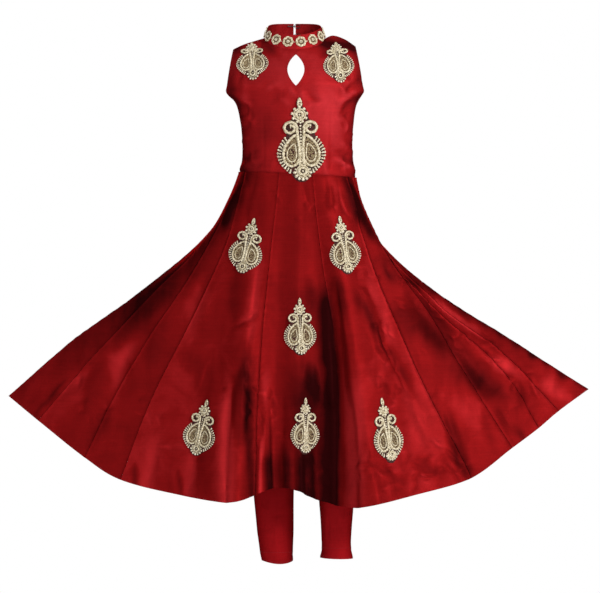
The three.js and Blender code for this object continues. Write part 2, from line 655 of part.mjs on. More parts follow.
function hookGeometry(height) {
  return wireGeometry(HOOK_PATH.map((p) => insideCollar(p.x, 0, height, p.off)), HOOK_WIRE);
}

function eyeGeometry(height) {
  const upper = EYE_PATH.map((p) => insideCollar(p.x, p.rise, height, p.off));
  const lower = EYE_PATH.map((p) => insideCollar(p.x, -p.rise, height, p.off)).reverse();
  return wireGeometry(upper.concat(lower), EYE_WIRE);
}

// ---------------------------------------------------------------- skirt
// How far out a line has gone at part v of its drop.
function outPart(line, v) {
  const marks = [0, line.out1, line.out2, line.out3, 1];
  const i = Math.min(3, Math.floor(v * 4));
  const before = marks[Math.max(0, i - 1)];
  const after = i === 3 ? 2 * marks[4] - marks[3] : marks[i + 2];
  return through(i === 0 ? -marks[1] / 3 : before, marks[i], marks[i + 1], after, v * 4 - i);
}

function linePoint(line, v) {
  const top = waistPoint(line.angle);
  const out = outPart(line, v);
  const forward = v ** FORWARD_POWER;
  return new THREE.Vector3(
    mix(top.x, line.hemX, out),
    mix(top.y, line.hemY, forward),
    mix(top.z, line.hemZ, v),
  );
}

function skirtPoint(lines, u, v) {
  const i = Math.min(lines.length - 2, Math.max(0, Math.floor(u)));
  const t = u - i;
  if (v === 0) {
    return waistPoint(mix(lines[i].angle, lines[i + 1].angle, t));
  }
  const p1 = linePoint(lines[i], v);
  const p2 = linePoint(lines[i + 1], v);
  const p0 = i > 0 ? linePoint(lines[i - 1], v) : p1.clone().multiplyScalar(2).sub(p2);
  const p3 = i < lines.length - 2 ? linePoint(lines[i + 2], v) : p2.clone().multiplyScalar(2).sub(p1);
  const smoothPoint = new THREE.Vector3(
    through(p0.x, p1.x, p2.x, p3.x, t),
    through(p0.y, p1.y, p2.y, p3.y, t),
    through(p0.z, p1.z, p2.z, p3.z, t),
  );
  // Near the waist the gathers melt into the oval of the seam.
  const ring = waistPoint(mix(lines[i].angle, lines[i + 1].angle, t));
  const chord = new THREE.Vector3(
    mix(waistPoint(lines[i].angle).x, waistPoint(lines[i + 1].angle).x, t),
    mix(waistPoint(lines[i].angle).y, waistPoint(lines[i + 1].angle).y, t),
    0,
  );
  const fade = (1 - v) ** WAIST_MELT_POWER;
  smoothPoint.x += (ring.x - chord.x) * fade;
  smoothPoint.y += (ring.y - chord.y) * fade;
  return smoothPoint;
}

function frontSkirtPoint(u, v) {
  return skirtPoint(FRONT_LINES, u, v);
}

function backSkirtPoint(u, v) {
  return skirtPoint(BACK_LINES, u, v);
}

function goreGrid(surface, lines, gore, rows) {
  const range = { u0: 0, u1: lines.length - 1, v0: 0, v1: 1 };
  const grid = wallGrid(surface, steps(gore.from, gore.to, gore.strips), steps(0, 1, rows), range, CLOTH_WALL);
  // The top edge stands on the waist seam, so its wall lies in the plane of that seam.
  for (const point of grid[0]) {
    const inward = new THREE.Vector3(point.normal.x, point.normal.y, 0).normalize();
    inward.z = WAIST.slant * inward.x;
    point.inner = point.outer.clone().addScaledVector(inward, -CLOTH_WALL);
  }
  const firstGap = gore.from === 0 ? SIDE_GAP : SEAM_GAP;
  const lastGap = gore.to === lines.length - 1 ? SIDE_GAP : SEAM_GAP;
  trimEdges(grid, { first: firstGap, last: lastGap, bottom: WAIST_GAP, top: 0 });
  return grid;
}

// ---------------------------------------------------------------- churidar
// The sheet of one leg goes from its inner edge round the front, the outside and the back to the inner edge.
// Side is -1 for the leg on the -X side and 1 for the other.
function legPoint(side, sections, u, v) {
  const hemZ = sections[0].z;
  const z = v < FORK_ROW ? mix(hemZ, FORK_Z, v / FORK_ROW) : mix(FORK_Z, SEAT_TOP_Z, (v - FORK_ROW) / (1 - FORK_ROW));
  const turn = u * 2 * Math.PI;
  const atLeg = Math.min(z, FORK_Z);
  const x = lookUp(sections, "z", "x", atLeg);
  const y = lookUp(sections, "z", "y", atLeg);
  const wide = lookUp(sections, "z", "wide", atLeg);
  const deep = lookUp(sections, "z", "deep", atLeg);
  const round = new THREE.Vector3(x - side * wide * Math.cos(turn), y - deep * Math.sin(turn), z);
  if (z <= FORK_Z) {
    return round;
  }
  const seatWide = lookUp(SEAT, "z", "wide", z);
  const cosine = Math.cos(turn / 2);
  const seatDeep = lookUp(SEAT, "z", cosine > 0 ? "front" : "back", z);
  const seatY = -seatDeep * signedPower(Math.abs(cosine) < NOTHING ? 0 : cosine, CHEST_SQUARENESS);
  const seat = new THREE.Vector3(SEAT_CENTRE_X + side * seatWide * Math.sin(turn / 2), seatY, z);
  const sheet = round.lerp(seat, smooth((z - FORK_Z) / SEAT_BLEND));
  // The top edge slants with the waist seam of the kurta.
  sheet.z += (WAIST.slant * sheet.x * (z - FORK_Z)) / (SEAT_TOP_Z - FORK_Z);
  return sheet;
}

function legGeometry(side, sections) {
  const surface = (u, v) => legPoint(side, sections, side < 0 ? 1 - u : u, v);
  const range = { u0: -1, u1: 2, v0: 0, v1: 1 };
  const grid = wallGrid(surface, steps(0, 1, LEG_STRIPS), steps(0, 1, LEG_ROWS), range, LEG_WALL);
  trimEdges(grid, { first: SEAM_GAP, last: SEAM_GAP, bottom: 0, top: 0 });
  // Above the fork both inner edges lie beside the middle plane.
  for (const row of grid) {
    for (const point of row) {
      for (const place of [point.outer, point.inner]) {
        const over = side * (place.x - SEAT_CENTRE_X) < SEAM_GAP && place.z > FORK_Z - SEAT_MEET;
        if (over) {
          place.x = SEAT_CENTRE_X + side * SEAM_GAP;
        }
      }
    }
  }
  return solidFromGrid(grid);
}

// The waistband lies just inside the waist of the kurta.
function waistbandGeometry() {
  const low = SEAT_TOP_Z + WAISTBAND.lift;
  const angles = steps(0, 360, WAISTBAND.strips).slice(0, -1);
  const inside = (angle, inset, part) => {
    const here = waistPoint(angle);
    const along = waistPoint(angle + 1).sub(waistPoint(angle - 1));
    const outward = new THREE.Vector3(along.y, -along.x, 0).normalize();
    const point = here.addScaledVector(outward, -inset);
    point.z = low + WAIST.slant * point.x + part * WAISTBAND.height;
    return point;
  };
  const reach = CLOTH_WALL + WAISTBAND.clearance;
  const grid = [0, 0.5, 1].map((part) =>
    angles.map((angle) => ({
      outer: inside(angle, reach, part),
      inner: inside(angle, reach + WAISTBAND.wall, part),
    })),
  );
  return solidFromGrid(grid, true);
}

// ---------------------------------------------------------------- motif patches
// Point and normal of a grid's outer face where a line along Y meets it at x and z.
function onGrid(grids, x, z) {
  let best = null;
  const tryTriangle = (a, b, c) => {
    const area = (b.outer.x - a.outer.x) * (c.outer.z - a.outer.z) - (c.outer.x - a.outer.x) * (b.outer.z - a.outer.z);
    const atB = ((x - a.outer.x) * (c.outer.z - a.outer.z) - (c.outer.x - a.outer.x) * (z - a.outer.z)) / area;
    const atC = ((b.outer.x - a.outer.x) * (z - a.outer.z) - (x - a.outer.x) * (b.outer.z - a.outer.z)) / area;
    const atA = 1 - atB - atC;
    if (Math.min(atA, atB, atC) < -ON_EDGE) {
      return;
    }
    const blend = (key) => {
      const sum = a[key].clone().multiplyScalar(atA);
      sum.addScaledVector(b[key], atB);
      sum.addScaledVector(c[key], atC);
      return sum;
    };
    const point = blend("outer");
    if (best === null || point.y < best.point.y) {
      best = { point, normal: blend("normal").normalize() };
    }
  };
  for (const grid of grids) {
    for (let r = 0; r < grid.length - 1; r += 1) {
      for (let c = 0; c < grid[0].length - 1; c += 1) {
        tryTriangle(grid[r][c], grid[r][c + 1], grid[r + 1][c + 1]);
        tryTriangle(grid[r][c], grid[r + 1][c + 1], grid[r + 1][c]);
      }
    }
  }
  return best;
}

// Place along a motif of a point of its outline, both from 0 at the bottom to 1 at the tip.
function alongMotif(part, drop) {
  if (part < OUTLINE_DROP) {
    return (part * drop) / OUTLINE_DROP;
  }
  return drop + ((part - OUTLINE_DROP) * (1 - drop)) / (1 - OUTLINE_DROP);
}

function motifGeometry(motif, grids) {
  const lean = motif.lean * DEGREE;
  let last = null;
  const grid = steps(0, 1, MOTIF_ROWS).map((part) =>
    MOTIF_STRIPS.map((strip) => {
      const across = strip.across * (motif.wide / 2) * lookUp(MOTIF_OUTLINE, "part", "half", part);
      const along = (alongMotif(part, motif.drop) - 0.5) * motif.long;
      const x = motif.x + across * Math.cos(lean) + along * Math.sin(lean);
      const z = motif.z - across * Math.sin(lean) + along * Math.cos(lean);
      const found = onGrid(grids, x, z) ?? last;
      last = found;
      const raised = motif.lift + MOTIF_WALL + MOTIF_RELIEF * strip.raised * Math.sin(Math.PI * clamp01(part));
      return {
        outer: found.point.clone().addScaledVector(found.normal, raised),
        inner: found.point.clone().addScaledVector(found.normal, motif.lift),
      };
    }),
  );
  return solidFromGrid(grid);
}

// ---------------------------------------------------------------- assembly
const group = new THREE.Group();

function addPart(name, geometry, colour) {
  const material = new THREE.MeshStandardMaterial({ name: `${name}_material`, color: colour, roughness: 0.6 });
  const mesh = new THREE.Mesh(geometry, material);
  mesh.name = name;
  group.add(mesh);
}

const bodiceGrid = frontBodiceGrid();
addPart("bodice_front", cutKeyhole(solidFromGrid(bodiceGrid)), CRIMSON);
addPart("bodice_back_left", backBodiceGeometry(-1), CRIMSON);
addPart("bodice_back_right", backBodiceGeometry(1), CRIMSON);
addPart("collar", collarGeometry(), CRIMSON);

for (let i = 0; i < FLOWER.count; i += 1) {
  const angle = ((i - (FLOWER.count - 1) / 2) * 360) / FLOWER.count;
  addPart(`collar_flower_${String(i + 1).padStart(2, "0")}`, flowerGeometry(angle), CREAM);
}

for (const closure of CLOSURES) {
  addPart(`hook_${closure.place}`, hookGeometry(closure.height), STEEL);
  addPart(`eye_${closure.place}`, eyeGeometry(closure.height), STEEL);
}

const frontGrids = FRONT_GORES.map((gore) => goreGrid(frontSkirtPoint, FRONT_LINES, gore, FRONT_GORE_ROWS));
FRONT_GORES.forEach((gore, i) => addPart(gore.name, solidFromGrid(frontGrids[i]), CRIMSON));
BACK_GORES.forEach((gore) => {
  addPart(gore.name, solidFromGrid(goreGrid(backSkirtPoint, BACK_LINES, gore, BACK_GORE_ROWS)), CRIMSON);
});

const centreGrid = frontGrids[FRONT_GORES.findIndex((gore) => gore.name === "gore_front_centre")];
for (const motif of MOTIFS) {
  const grids = motif.on === "bodice" ? [bodiceGrid, centreGrid] : frontGrids;
  addPart(motif.name, motifGeometry(motif, grids), CREAM);
}

addPart("leg_left", legGeometry(-1, LEFT_LEG), CRIMSON);
addPart("leg_right", legGeometry(1, RIGHT_LEG), CRIMSON);
addPart("waistband", waistbandGeometry(), CRIMSON);

export default group;
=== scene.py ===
# %% [markdown]
# # A girl's flared kurta with churidar trousers
#
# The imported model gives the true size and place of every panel. Here each panel becomes a thin cloth shell on the
# same form, with finer folds and creases, and the embroidery, lace, stitching and hooks are built in detail.
# All sizes below are millimetres in the row frame: +X to the right of the front view, -Y the front, +Z up.

import math

import bpy
import numpy as np
from mathutils import Matrix, Vector
from mathutils.bvhtree import BVHTree


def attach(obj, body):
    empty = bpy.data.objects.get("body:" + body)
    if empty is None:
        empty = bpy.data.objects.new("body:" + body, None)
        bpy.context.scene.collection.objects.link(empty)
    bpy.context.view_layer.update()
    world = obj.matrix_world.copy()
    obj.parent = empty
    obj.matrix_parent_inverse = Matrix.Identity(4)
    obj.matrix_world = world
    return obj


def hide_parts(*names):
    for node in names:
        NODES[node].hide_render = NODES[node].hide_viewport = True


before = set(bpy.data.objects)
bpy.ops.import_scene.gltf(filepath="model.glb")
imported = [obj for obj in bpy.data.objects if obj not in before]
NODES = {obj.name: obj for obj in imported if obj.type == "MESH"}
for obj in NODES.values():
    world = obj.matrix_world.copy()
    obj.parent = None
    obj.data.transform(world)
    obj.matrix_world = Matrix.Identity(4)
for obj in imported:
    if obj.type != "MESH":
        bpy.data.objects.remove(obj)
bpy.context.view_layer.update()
MM = 0.001
print("nodes in the frame:", len(NODES))

# %% [markdown]
# ## Camera and studio
# The camera comes first, because every later choice is judged through it. It stands six metres away with a long
# lens, level with the middle of the suit, so the skirt keeps its true spread. A pale floor, a white horizon and
# soft lights show it as a catalogue would: the key from the front right, a weak fill and a little light on top.

# %% Camera
CAMERA_X = 0.0063
CAMERA_Z = -0.4527
CAMERA_FAR = 6.0
FRAME_WIDTH = 1.08
SENSOR = 36.0

camera_data = bpy.data.cameras.new("camera")
camera_data.sensor_width = SENSOR
camera_data.lens = SENSOR * CAMERA_FAR / FRAME_WIDTH
camera = bpy.data.objects.new("camera", camera_data)
camera.location = (CAMERA_X, -CAMERA_FAR, CAMERA_Z)
camera.rotation_euler = (math.radians(90), 0, 0)
bpy.context.collection.objects.link(camera)
bpy.context.scene.camera = camera
print("lens", round(camera_data.lens), "mm")


# %% Floor
def new_material(name):
    material = bpy.data.materials.new(name)
    material.use_nodes = True
    return material, material.node_tree.nodes, material.node_tree.links


def link_mesh(name, vertices, faces, material=None):
    mesh = bpy.data.meshes.new(name)
    mesh.from_pydata([tuple(v) for v in vertices], [], [tuple(f) for f in faces])
    if material is not None:
        mesh.materials.append(material)
    mesh.update()
    piece = bpy.data.objects.new(name, mesh)
    bpy.context.collection.objects.link(piece)
    return piece


FLOOR_Z = -1.3
FLOOR_RADIUS = 3.4
FLOOR_SIDES = 64

floor_ring = [2 * math.pi * i / FLOOR_SIDES for i in range(FLOOR_SIDES)]
floor_points = [(FLOOR_RADIUS * math.cos(t), FLOOR_RADIUS * math.sin(t), FLOOR_Z) for t in floor_ring]
paper, paper_nodes, _ = new_material("studio_paper")
paper_nodes["Principled BSDF"].inputs["Base Color"].default_value = (0.85, 0.85, 0.85, 1)
paper_nodes["Principled BSDF"].inputs["Roughness"].default_value = 0.9
floor = link_mesh("studio_floor", floor_points, [tuple(range(FLOOR_SIDES))], paper)


# %% Lights
def area_light(name, place, target, size, power, colour=(1, 1, 1)):
    data = bpy.data.lights.new(name, "AREA")
    data.shape = "DISK"
    data.size = size
    data.energy = power
    data.color = colour
    lamp = bpy.data.objects.new(name, data)
    lamp.location = place
    aim = Vector(target) - Vector(place)
    lamp.rotation_euler = aim.to_track_quat("-Z", "Y").to_euler()
    bpy.context.collection.objects.link(lamp)
    return lamp


area_light("key", (2.5, -3.0, 1.2), (0.05, 0, -0.45), 1.1, 118)
area_light("fill", (-2.4, -3.8, 0.4), (0, 0, -0.5), 1.6, 20)
area_light("top", (0.3, 0.2, 2.4), (0, 0, -0.4), 1.4, 14)
area_light("back", (-1.6, 3.6, 1.0), (0, 0, -0.5), 1.4, 60)

# The sky is white in a low band round the horizon, so the suit stands before white from every side, and dim above
# it, so the folds keep their shadows.
HORIZON = {"low": 0.16, "high": 0.34, "white": 1.0, "dim": 0.13}
world = bpy.data.worlds.new("studio_world")
world.use_nodes = True
world_nodes, world_links = world.node_tree.nodes, world.node_tree.links
direction = world_nodes.new("ShaderNodeTexCoord")
parts = world_nodes.new("ShaderNodeSeparateXYZ")
band = world_nodes.new("ShaderNodeMapRange")
band.interpolation_type = "SMOOTHSTEP"
band.inputs["From Min"].default_value = HORIZON["low"]
band.inputs["From Max"].default_value = HORIZON["high"]
band.inputs["To Min"].default_value = HORIZON["white"]
band.inputs["To Max"].default_value = HORIZON["dim"]
world_links.new(direction.outputs["Generated"], parts.inputs["Vector"])
world_links.new(parts.outputs["Z"], band.inputs["Value"])
world_links.new(band.outputs["Result"], world_nodes["Background"].inputs["Strength"])
world_nodes["Background"].inputs["Color"].default_value = (1, 1, 1, 1)
bpy.context.scene.world = world
bpy.context.scene.view_settings.view_transform = "Standard"

# %% [markdown]
# ## Cloth and thread
# The kurta is a crisp art silk. Its colour carries painted sheen and painted shade: bright crimson where the surface
# faces the front, where the lights and camera stand, and dark maroon where it turns away, a mix driven by which way
# the surface faces in the suit's own frame. Fine slubs across the cloth come from a noise stretched sideways. Painted
# shade in the folds and painted highlights on their ridges are carried by an attribute worked out from the shape and
# from listed strokes. Cords and beads are pale cream and old gold.


# %% Materials
def set_inputs(node, **values):
    for key, value in values.items():
        node.inputs[key.replace("_", " ")].default_value = value


def silk(name, highlight_colour, middle, dark, facing_shade, turned_shade, rough, slub, crumple):
    """Silk with painted shade: a ramp from a painted highlight through the cloth's own colour to painted shade, read
    where the cloth turns or folds away.
    """
    material, nodes, links = new_material(name)
    shader = nodes["Principled BSDF"]
    place = nodes.new("ShaderNodeTexCoord")
    split = nodes.new("ShaderNodeSeparateXYZ")
    links.new(place.outputs["Normal"], split.inputs["Vector"])
    # Painted shade: cloth that turns away from the front, where the lights and camera stand, is painted darker, and
    # cloth facing it lighter.
    facing = nodes.new("ShaderNodeMath")
    facing.operation = "ABSOLUTE"
    links.new(split.outputs["Y"], facing.inputs[0])
    bend = nodes.new("ShaderNodeMapRange")
    bend.interpolation_type = "SMOOTHSTEP"
    set_inputs(bend, From_Min=0.1, From_Max=0.85, To_Min=turned_shade, To_Max=facing_shade)
    links.new(facing.outputs["Value"], bend.inputs["Value"])
    painted_shade = nodes.new("ShaderNodeAttribute")
    painted_shade.attribute_name = "painted_shade"
    total = nodes.new("ShaderNodeMath")
    total.operation = "ADD"
    links.new(bend.outputs["Result"], total.inputs[0])
    links.new(painted_shade.outputs["Fac"], total.inputs[1])
    mottle = nodes.new("ShaderNodeTexNoise")
    set_inputs(mottle, Scale=19.0, Detail=4.0, Roughness=0.62, Distortion=0.8)
    links.new(place.outputs["Object"], mottle.inputs["Vector"])
    uneven = nodes.new("ShaderNodeMapRange")
    set_inputs(uneven, From_Min=0.3, From_Max=0.7, To_Min=-0.07, To_Max=0.07)
    links.new(mottle.outputs["Fac"], uneven.inputs["Value"])
    stirred = nodes.new("ShaderNodeMath")
    stirred.operation = "ADD"
    stirred.use_clamp = True
    links.new(total.outputs["Value"], stirred.inputs[0])
    links.new(uneven.outputs["Result"], stirred.inputs[1])
    tone = nodes.new("ShaderNodeValToRGB")
    stops = tone.color_ramp.elements
    stops[0].color = (*highlight_colour, 1)
    stops[1].color = (*dark, 1)
    stops.new(0.36).color = (*middle, 1)
    links.new(stirred.outputs["Value"], tone.inputs["Fac"])
    stretch = nodes.new("ShaderNodeMapping")
    stretch.inputs["Scale"].default_value = (14, 14, 260)
    links.new(place.outputs["Object"], stretch.inputs["Vector"])
    slubs = nodes.new("ShaderNodeTexNoise")
    set_inputs(slubs, Scale=1.6, Detail=3.0, Roughness=0.6)
    links.new(stretch.outputs["Vector"], slubs.inputs["Vector"])
    slub_range = nodes.new("ShaderNodeMapRange")
    set_inputs(slub_range, From_Min=0.3, From_Max=0.7, To_Min=1 - slub, To_Max=1 + slub)
    links.new(slubs.outputs["Fac"], slub_range.inputs["Value"])
    lift = nodes.new("ShaderNodeVectorMath")
    lift.operation = "SCALE"
    links.new(tone.outputs["Color"], lift.inputs["Vector"])
    links.new(slub_range.outputs["Result"], lift.inputs["Scale"])
    links.new(lift.outputs["Vector"], shader.inputs["Base Color"])
    small = nodes.new("ShaderNodeTexNoise")
    small.noise_type = "RIDGED_MULTIFRACTAL"
    set_inputs(small, Scale=26.0, Detail=3.0, Roughness=0.55, Distortion=0.1)
    slant = nodes.new("ShaderNodeMapping")
    slant.inputs["Rotation"].default_value = (0, 0.6, 0)
    slant.inputs["Scale"].default_value = (1, 1, 0.42)
    links.new(place.outputs["Object"], slant.inputs["Vector"])
    links.new(slant.outputs["Vector"], small.inputs["Vector"])
    weave = nodes.new("ShaderNodeBump")
    set_inputs(weave, Strength=0.12, Distance=0.0006)
    links.new(slubs.outputs["Fac"], weave.inputs["Height"])
    creased = nodes.new("ShaderNodeBump")
    set_inputs(creased, Strength=crumple, Distance=0.014)
    links.new(small.outputs["Fac"], creased.inputs["Height"])
    links.new(weave.outputs["Normal"], creased.inputs["Normal"])
    links.new(creased.outputs["Normal"], shader.inputs["Normal"])
    set_inputs(shader, Roughness=rough, Metallic=0.2, Specular_IOR_Level=0.0, Sheen_Weight=0.0)
    shader.inputs["Specular Tint"].default_value = (0.9, 0.08, 0.08, 1)
    return material


def thread(name, colour, second, rough, scale, metal=0.0):
    material, nodes, links = new_material(name)
    shader = nodes["Principled BSDF"]
    place = nodes.new("ShaderNodeTexCoord")
    noise = nodes.new("ShaderNodeTexNoise")
    set_inputs(noise, Scale=scale, Detail=2.5, Roughness=0.6)
    links.new(place.outputs["Object"], noise.inputs["Vector"])
    spread = nodes.new("ShaderNodeMapRange")
    set_inputs(spread, From_Min=0.38, From_Max=0.62, To_Min=0.0, To_Max=1.0)
    links.new(noise.outputs["Fac"], spread.inputs["Value"])
    tone = nodes.new("ShaderNodeMix")
    tone.data_type = "RGBA"
    tone.inputs["A"].default_value = (*colour, 1)
    tone.inputs["B"].default_value = (*second, 1)
    links.new(spread.outputs["Result"], tone.inputs["Factor"])
    links.new(tone.outputs["Result"], shader.inputs["Base Color"])
    set_inputs(shader, Roughness=rough, Metallic=metal, Specular_IOR_Level=0.4)
    return material


# Each silk gives its painted highlight colour, its own colour and its painted shade colour, how far into painted
# shade it is face on and turned away, then roughness, slubs and crumple.
SKIRT_SILK = silk(
    "skirt_silk", (0.43, 0.017, 0.020), (0.205, 0.0052, 0.0058), (0.022, 0.0016, 0.0020), 0.34, 0.75, 0.48, 0.07, 0.45
)
BODICE_SILK = silk(
    "bodice_silk", (0.52, 0.030, 0.037), (0.285, 0.0085, 0.010), (0.045, 0.0033, 0.004), 0.30, 0.72, 0.5, 0.06, 0.35
)
CHURIDAR_CLOTH = silk(
    "churidar_cloth", (0.42, 0.010, 0.014), (0.27, 0.006, 0.008), (0.04, 0.0015, 0.003), 0.3, 0.75, 0.6, 0.05, 0.08
)
CORD = thread("cream_cord", (0.86, 0.77, 0.57), (0.36, 0.28, 0.15), 0.5, 420)
BEAD = thread("pale_bead", (0.90, 0.84, 0.67), (0.44, 0.34, 0.20), 0.32, 420)
GOLD_FILL = thread("gold_fill", (0.46, 0.37, 0.20), (0.14, 0.065, 0.03), 0.45, 460)
LACE_GROUND = thread("lace_ground", (0.20, 0.12, 0.05), (0.07, 0.035, 0.018), 0.7, 380)
# The dark backing is partly the embroidery's own dark ground and partly painted shadow between the cords.
BACKING_AND_SHADOW = thread("dark_backing", (0.085, 0.018, 0.014), (0.025, 0.008, 0.007), 0.9, 300)
STITCH = thread("red_thread", (0.24, 0.010, 0.016), (0.15, 0.006, 0.010), 0.7, 200)
WIRE = thread("dark_wire", (0.10, 0.10, 0.105), (0.05, 0.05, 0.055), 0.35, 90, 0.9)
print("materials:", len(bpy.data.materials))

# %% [markdown]
# ## Helpers
# Every cloth piece is a grid of points from a formula, moved out along its own normal by creases, then given a
# thin second face and a rim. Working on whole numpy grids keeps fine meshes quick to build.


# %% Helpers for grids
def mix(a, b, t):
    return a + (b - a) * t


def smooth(t):
    t = np.clip(t, 0, 1)
    return t * t * (3 - 2 * t)


def through(p0, p1, p2, p3, t):
    """Smooth curve through four neighbouring values; t runs from the second to the third."""
    return 0.5 * (
        2 * p1 + (p2 - p0) * t + (2 * p0 - 5 * p1 + 4 * p2 - p3) * t**2 + (-p0 + 3 * p1 - 3 * p2 + p3) * t**3
    )


def look_up(rows, key, column, at):
    """Value of a column at a key, along rows sorted by that key either way. at may be an array."""
    keys = np.array([row[key] for row in rows], float)
    values = np.array([row[column] for row in rows], float)
    if keys[-1] < keys[0]:
        keys, values = keys[::-1], values[::-1]
    at = np.asarray(at, float)
    i = np.clip(np.searchsorted(keys, at) - 1, 0, len(keys) - 2)
    t = np.clip((at - keys[i]) / (keys[i + 1] - keys[i]), 0, 1)
    before = values[np.maximum(i - 1, 0)]
    after = values[np.minimum(i + 2, len(keys) - 1)]
    return through(before, values[i], values[i + 1], after, t)


def signed_power(value, power):
    return np.sign(value) * np.abs(value) ** power


def stack(x, y, z):
    return np.stack(np.broadcast_arrays(x, y, z), axis=-1)


def unit(vectors):
    return vectors / np.maximum(np.linalg.norm(vectors, axis=-1, keepdims=True), 1e-9)


def grid_normals(points):
    """Normals of a grid of shape (rows, columns, 3), one-sided at its edges."""
    across = np.gradient(points, axis=1)
    along = np.gradient(points, axis=0)
    return unit(np.cross(across, along))


def shell(name, points, wall, material, painted_shade=None, closed=False, normals=None):
    """Closed thin wall from a grid of outer points in mm. A closed grid joins its last column to its first."""
    rows, columns = points.shape[:2]
    if normals is None:
        normals = grid_normals(points)
    inner = points - normals * wall
    vertices = np.concatenate([points.reshape(-1, 3), inner.reshape(-1, 3)]) * MM
    index = np.arange(rows * columns).reshape(rows, columns)
    if closed:
        index = np.concatenate([index, index[:, :1]], axis=1)
    a, b, c, d = index[:-1, :-1], index[:-1, 1:], index[1:, 1:], index[1:, :-1]
    outer_faces = np.stack([a, b, c, d], -1).reshape(-1, 4)
    low = rows * columns
    inner_faces = (np.stack([a, d, c, b], -1) + low).reshape(-1, 4)
    edges = [(index[0, :-1], index[0, 1:]), (index[-1, 1:], index[-1, :-1])]
    if not closed:
        edges += [(index[1:, 0], index[:-1, 0]), (index[:-1, -1], index[1:, -1])]
    rims = [np.stack([s, s + low, e + low, e], -1).reshape(-1, 4) for s, e in edges]
    faces = np.concatenate([outer_faces, inner_faces] + rims)
    piece = link_mesh(name, vertices, faces.tolist(), material)
    finish_mesh(piece)
    # The painted shade of every point goes to the material as an attribute, on both faces.
    if painted_shade is not None:
        layer = piece.data.attributes.new("painted_shade", "FLOAT", "POINT")
        layer.data.foreach_set("value", np.tile(np.clip(painted_shade, -0.6, 1).ravel(), 2).astype(np.float32))
    return piece


def finish_mesh(piece, angle=50):
    mesh = piece.data
    mesh.polygons.foreach_set("use_smooth", [True] * len(mesh.polygons))
    mesh.set_sharp_from_angle(angle=math.radians(angle))
    mesh.update()


def wear(piece, slot, *nodes):
    """Rides on the one body and stands for CAD nodes where it has their form. The slot is not used."""
    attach(piece, "root")
    if nodes:
        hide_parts(*nodes)


def area_of(points):
    a = np.linalg.norm(np.cross(points[1:, 1:] - points[:-1, :-1], points[1:, :-1] - points[:-1, 1:]), axis=-1)
    return float(a.sum() / 2) * 1e-6


print("helpers ready")

# %% [markdown]
# ## Tables of the cut
# The same sizes that shape the solid model: sections of the bodice, the lines that run down the skirt from waist
# to hem, and the round sections of the legs. Keeping them as named rows makes a change in one place show
# everywhere.

# %% Tables of the cut
WAIST = {"centre": 2, "wide": 104, "front": 74, "back": 66, "middle": -234.5, "slant": -0.05}
SQUARENESS = 0.8
BODICE_SECTIONS = [
    {"z": -235, "left": 102, "right": 106, "front": 74, "back": 66},
    {"z": -212, "left": 98, "right": 103, "front": 72, "back": 62},
    {"z": -190, "left": 97, "right": 101, "front": 73, "back": 60},
    {"z": -165, "left": 98, "right": 101, "front": 75, "back": 60},
    {"z": -140, "left": 101, "right": 103, "front": 77, "back": 61},
    {"z": -107, "left": 109, "right": 108, "front": 79, "back": 63},
    {"z": -82, "left": 126, "right": 121, "front": 79, "back": 63},
]
UNDERARM_Z = -82
UNDERARM_ROW = 0.56
ARMHOLE = {"forward": 34, "backward": 30, "roundness": 0.8}
SHOULDER = [
    {"part": 0, "left_x": -58.5, "left_z": 12, "right_x": 51.5, "right_z": 12},
    {"part": 0.33, "left_x": -76, "left_z": 7, "right_x": 66, "right_z": 17},
    {"part": 0.67, "left_x": -95, "left_z": 1, "right_x": 87, "right_z": 10},
    {"part": 1, "left_x": -114, "left_z": -8, "right_x": 106, "right_z": -3},
]
NECK = {"centre": -3.5, "wide": 55, "front": 52, "back": 50, "side_z": 12, "front_z": -11.5, "back_z": 14}
COLLAR = {"wide": 48, "deep": 46, "front_z": 15, "side_z": 33.5, "back_z": 42, "lift": 0.3, "end_gap": 1.9}
KEYHOLE = {"centre": -1, "top": -21.6, "bottom": -77.8, "half": 15}
BACK_DROP = [
    {"z": 14, "half": 1.5},
    {"z": 4, "half": 4},
    {"z": -10, "half": 12},
    {"z": -28, "half": 19},
    {"z": -46, "half": 21.5},
    {"z": -62, "half": 19.5},
    {"z": -76, "half": 13},
    {"z": -88, "half": 5},
    {"z": -96, "half": 0.15},
]

LINE_COLUMNS = ("name", "angle", "x", "y", "z", "out1", "out2", "out3")
FRONT_LINES = [
    ("left side", -90, -518, 0, -632, 0.115, 0.385, 0.72),
    ("left seam C-D", -83, -463, -26, -675, 0.15, 0.44, 0.735),
    ("left seam B-C", -74, -377, -60, -740, 0.2, 0.49, 0.775),
    ("left seam A-B", -62, -312, -86, -778, 0.17, 0.46, 0.765),
    ("left valley", -44, -208, -112, -803, 0.22, 0.5, 0.78),
    ("left ridge", -31, -120, -172, -813, 0.3, 0.6, 0.85),
    ("left centre seam", -18.5, -73.7, -150, -802, 0.36, 0.7, 0.91),
    ("centre valley", -9, -39, -126, -790, 0.36, 0.72, 0.92),
    ("centre ridge", 0, -3, -140, -793, 0.3, 0.6, 0.85),
    ("centre fold", 6, 21.5, -128, -805, 0.36, 0.8, 0.95),
    ("right centre seam", 14.5, 73, -112, -822, 0.36, 0.88, 0.98),
    ("right ridge", 27, 118, -178, -821, 0.3, 0.66, 0.88),
    ("right fold", 42, 208, -140, -802, 0.2, 0.48, 0.76),
    ("right seam A-B", 57, 309, -92, -775, 0.165, 0.41, 0.69),
    ("right seam B-C", 70, 384, -60, -723, 0.18, 0.46, 0.73),
    ("right seam C-D", 78, 433, -40, -688, 0.12, 0.39, 0.78),
    ("right seam D-E", 84, 470, -25, -658, 0.09, 0.35, 0.72),
    ("right side", 90, 525, 0, -620, 0.068, 0.295, 0.645),
]
